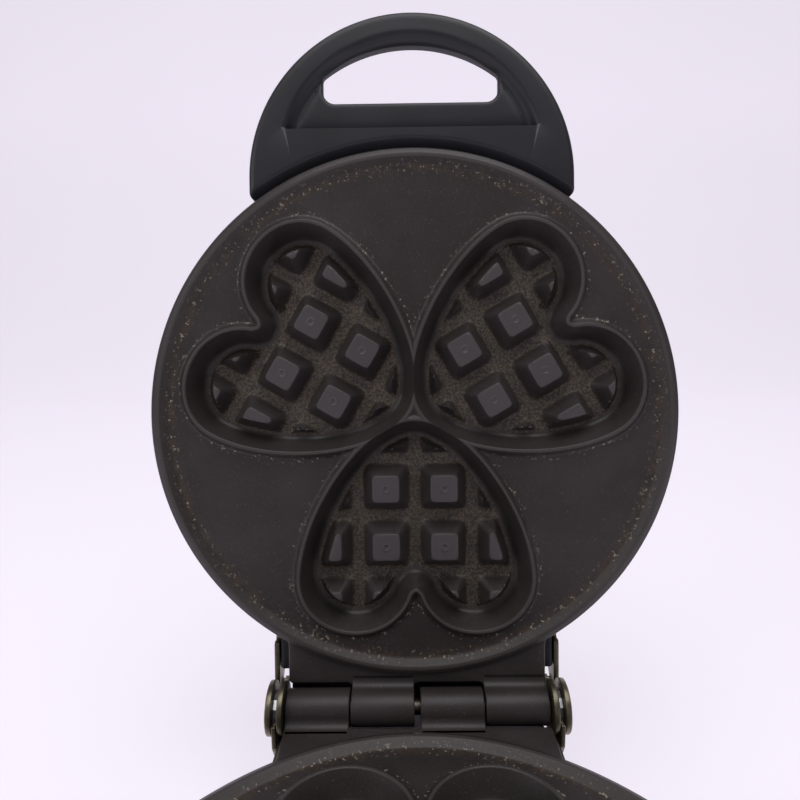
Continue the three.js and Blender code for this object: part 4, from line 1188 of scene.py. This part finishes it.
def dull(name, light, dark, roughness, size_mm, depth_mm):
    """Rubber or fired ceramic: two close tones and a grain of a given size."""
    material, tree, surface, where = new_material(name, Roughness=roughness)
    patch = noise(tree, where, size_mm, 4)
    tree.links.new(mix(tree, patch, dark, light), surface.inputs["Base Color"])
    bump(tree, surface, noise(tree, where, size_mm / 4, 3), depth_mm, 0.5)
    return material


def lens(name, colour):
    """Clear coloured polycarbonate."""
    material, tree, surface, where = new_material(
        name, Base_Color=linear(colour), Roughness=0.12, IOR=1.58, Transmission_Weight=0.35)
    bump(tree, surface, noise(tree, where, 1.2, 1), 0.02, 0.2)
    return material


def glass_braid():
    """Braided glass-fibre sleeve: pale yarns crossing about every 1.5 mm."""
    material, tree, surface, where = new_material("glass_fibre_braid", Roughness=0.85)
    uv = tree.nodes.new("ShaderNodeTexCoord").outputs["UV"]
    waves = []
    for slope in (1, -1):
        turned_uv = add(tree, "Mapping", {"Vector": uv}, Rotation=(0, 0, slope * math.pi / 4))
        waves.append(add(tree, "TexWave", {"Vector": turned_uv.outputs[0]}, Scale=0.22).outputs["Fac"])
    weave = times(tree, waves[0], waves[1], "MAXIMUM")
    tree.links.new(mix(tree, weave, "#8f8468", "#d2c9ae"), surface.inputs["Base Color"])
    bump(tree, surface, weave, 0.3, 0.7)
    return material


COATING = non_stick_coating()
PHENOLIC = phenolic()
HOUSING = housing_plastic()
PASSIVATED = passivated_steel()
ZINC = metal("bright_zinc_plated_steel", "#c4c6c8", "#a4a6a8", 0.3, 6)
OILED = metal("oiled_bright_steel", "#5b5750", "#3f3c38", 0.42, 3)
DULLED = metal("heat_dulled_steel", "#9a958c", "#7c766c", 0.45, 14)
RUBBER = dull("moulded_rubber", "#232325", "#1a1a1c", 0.8, 6, 0.05)
CERAMIC = dull("steatite_ceramic", "#dcd6c8", "#cfc8b8", 0.6, 3, 0.03)
RED_LENS = lens("red_polycarbonate", "#a01512")
GREEN_LENS = lens("green_polycarbonate", "#2b8a3a")
BRAID = glass_braid()

SLOT_MATERIALS = {
    "non_stick_coating": COATING, "handle_phenolic": PHENOLIC, "housing_plastic": HOUSING,
    "passivated_steel": PASSIVATED, "zinc_steel": ZINC, "heat_sheet_steel": DULLED,
    "black_rubber": RUBBER, "ceramic": CERAMIC, "red_lens": RED_LENS, "green_lens": GREEN_LENS,
    "glass_braid": BRAID,
}


# ---- camera, light and floor -------------------------------------------------------------------

def set_camera():
    """Eye level with the upper moulds, a little left of the middle, looking slightly down."""
    spot = Vector(HINGE) + MM * Vector((-3.9, -202.7, 156.3))
    pitch, yaw, roll = (math.radians(a) for a in (9.30, -0.42, -0.71))
    ahead = Vector((math.sin(yaw) * math.cos(pitch), math.cos(yaw) * math.cos(pitch), -math.sin(pitch)))
    level = ahead.cross(Vector((0, 0, 1))).normalized()
    upright = level.cross(ahead)
    right = level * math.cos(roll) + upright * math.sin(roll)
    up = right.cross(ahead)
    camera = bpy.data.objects.new("camera", bpy.data.cameras.new("camera"))
    camera.data.sensor_width = 36.0
    camera.data.lens = 36.0 * 568.6 / 800
    camera.data.clip_start = 0.01
    turn = Matrix((right, up, -ahead)).transposed()
    camera.matrix_world = Matrix.Translation(spot) @ turn.to_4x4()
    bpy.context.scene.collection.objects.link(camera)
    bpy.context.scene.camera = camera


def area_light(name, spot, aim, size, power, colour):
    lamp = bpy.data.lights.new(name, "AREA")
    lamp.shape = "RECTANGLE"
    lamp.size, lamp.size_y = size
    lamp.energy = power
    lamp.color = colour
    light = bpy.data.objects.new(name, lamp)
    light.location = spot
    light.rotation_euler = (Vector(aim) - Vector(spot)).to_track_quat("-Z", "Y").to_euler()
    bpy.context.scene.collection.objects.link(light)


def set_light():
    """A bright tent: pale surroundings, a broad light overhead and a weaker one from the left."""
    world = bpy.data.worlds.new("pale_room")
    world.use_nodes = True
    background = world.node_tree.nodes["Background"]
    background.inputs["Color"].default_value = (0.93, 0.90, 0.96, 1)
    background.inputs["Strength"].default_value = 0.24
    bpy.context.scene.world = world
    area_light("overhead", (0.1, -0.35, 1.5), (0, 0.05, 0.1), (1.4, 1.0), 12.5, (1, 0.98, 1))
    area_light("left", (-1.3, -0.7, 0.9), (0, 0.05, 0.15), (0.8, 0.8), 5, (0.97, 0.98, 1))


def set_floor():
    """Pale floor that curves up into a wall far behind: a quarter circle joins the two."""
    turn = np.linspace(0, math.pi / 2, 24)
    bend, near, far, tall = 0.9, -2.0, 1.1, 3.0
    y = np.concatenate([[near], far + bend * np.sin(turn), [far + bend]])
    z = np.concatenate([[0], bend * (1 - np.cos(turn)), [tall]])
    x = np.array([-3.0, 3.0])
    points = np.stack([np.repeat(x, len(y)), np.tile(y, 2), np.tile(z, 2)], 1)
    faces = grid_faces(2, len(y), False)[:, ::-1]
    mesh = bpy.data.meshes.new("floor")
    mesh.from_pydata(points.tolist(), [], faces.tolist())
    mesh.shade_smooth()
    material, tree, surface, where = new_material(
        "pale_paper", Roughness=0.9, Emission_Color=(0.93, 0.87, 0.97, 1), Emission_Strength=0.62)
    colour = mix(tree, noise(tree, where, 400, 2), "#b4b0b8", "#bab6be")
    tree.links.new(colour, surface.inputs["Base Color"])
    mesh.materials.append(material)
    floor = bpy.data.objects.new("floor", mesh)
    bpy.context.scene.collection.objects.link(floor)


# ---- the machine -------------------------------------------------------------------------------

set_camera()
set_light()
set_floor()
bpy.context.scene.view_settings.view_transform = "Standard"

for node in frame["record"]["subparts"]:
    skin = frame["nodes"][node["node"]].data.materials
    skin.clear()
    skin.append(SLOT_MATERIALS[node["material_slot"]])

plate_shells = cooking_plate()
grip_shells = grip()
for half in ("base", "lid"):
    make(f"{half}_waffle_plate", half, plate_shells, COATING, [f"{half}_plate"], 40)
    make(f"{half}_grip", half, grip_shells, PHENOLIC, [f"{half}_handle"], 50)

sides = {"base": {"left": 1, "right": -1}, "lid": {"left": -1, "right": 1}}
for half, inside in (("base", BASE_ARM), ("lid", LID_ARM)):
    for hand, side in sides[half].items():
        make(f"{half}_hinge_arm_{hand}", half, [arm(side, inside)], PASSIVATED,
             [f"{half}_arm_{hand}"])
for hand, side in sides["base"].items():
    make(f"stop_plate_{hand}", "base", stop_plate(side), PASSIVATED,
         [f"lid_stop_{hand}"])
make("pin_through_knuckles", "base", hinge_pin(), OILED, ["hinge_pin"])

for half, inside in (("base", BASE_ARM), ("lid", LID_ARM)):
    for hand, side in sides[half].items():
        head = facing_x(screw_head(0.25, 4.0), side, side * (inside + ARM_THICKNESS), *ARM_SCREW)
        make(f"{half}_arm_rivet_{hand}", half, head, ZINC, [f"{half}_arm_screw_{hand}"])
    for i, spot in enumerate(post_places()):
        head = moved(screw_head(HEAD_HEIGHT, 20.0), *spot, HEAD_RECESS - DEPTH[half])
        make(f"{half}_housing_screw_{i + 1}", half, head, ZINC,
             [f"{half}_shell_screw_{i + 1}"])

make("lid_housing", "lid", [bowl(DEPTH["lid"], dial=DIAL), *lid_neck()], HOUSING,
     ["lid_shell"], 30)
make("base_housing", "base", [bowl(DEPTH["base"], vent_slots()), *hinge_block()], HOUSING,
     ["base_shell"], 30)
make("knob", "lid", knob(), PHENOLIC, ["thermostat_knob"], 30, body="knob")
make("red_lamp", "lid", lamp(-1), RED_LENS, ["power_lamp"])
make("green_lamp", "lid", lamp(1), GREEN_LENS, ["ready_lamp"])
for i, spot in enumerate(FEET):
    make(f"rubber_foot_{i + 1}", "base", foot(spot), RUBBER, [f"foot_{i + 1}"])
make("cord_inlet", "base", bush(GLAND_RADIUS, GLAND_BORE, GLAND_X, -BLOCK_BACK, GLAND_RISE - DEPTH["base"]),
     RUBBER, ["cord_gland"])
for half, x, wall in (("base", -LEAD_X, -BLOCK_BACK), ("lid", LEAD_X, NECK_END)):
    make(f"{half}_lead_bush", half, bush(BUSH_RADIUS, LEAD_RADIUS + GAP, x, wall, -LEAD_DROP), RUBBER,
         [f"{half}_grommet"])
lead()
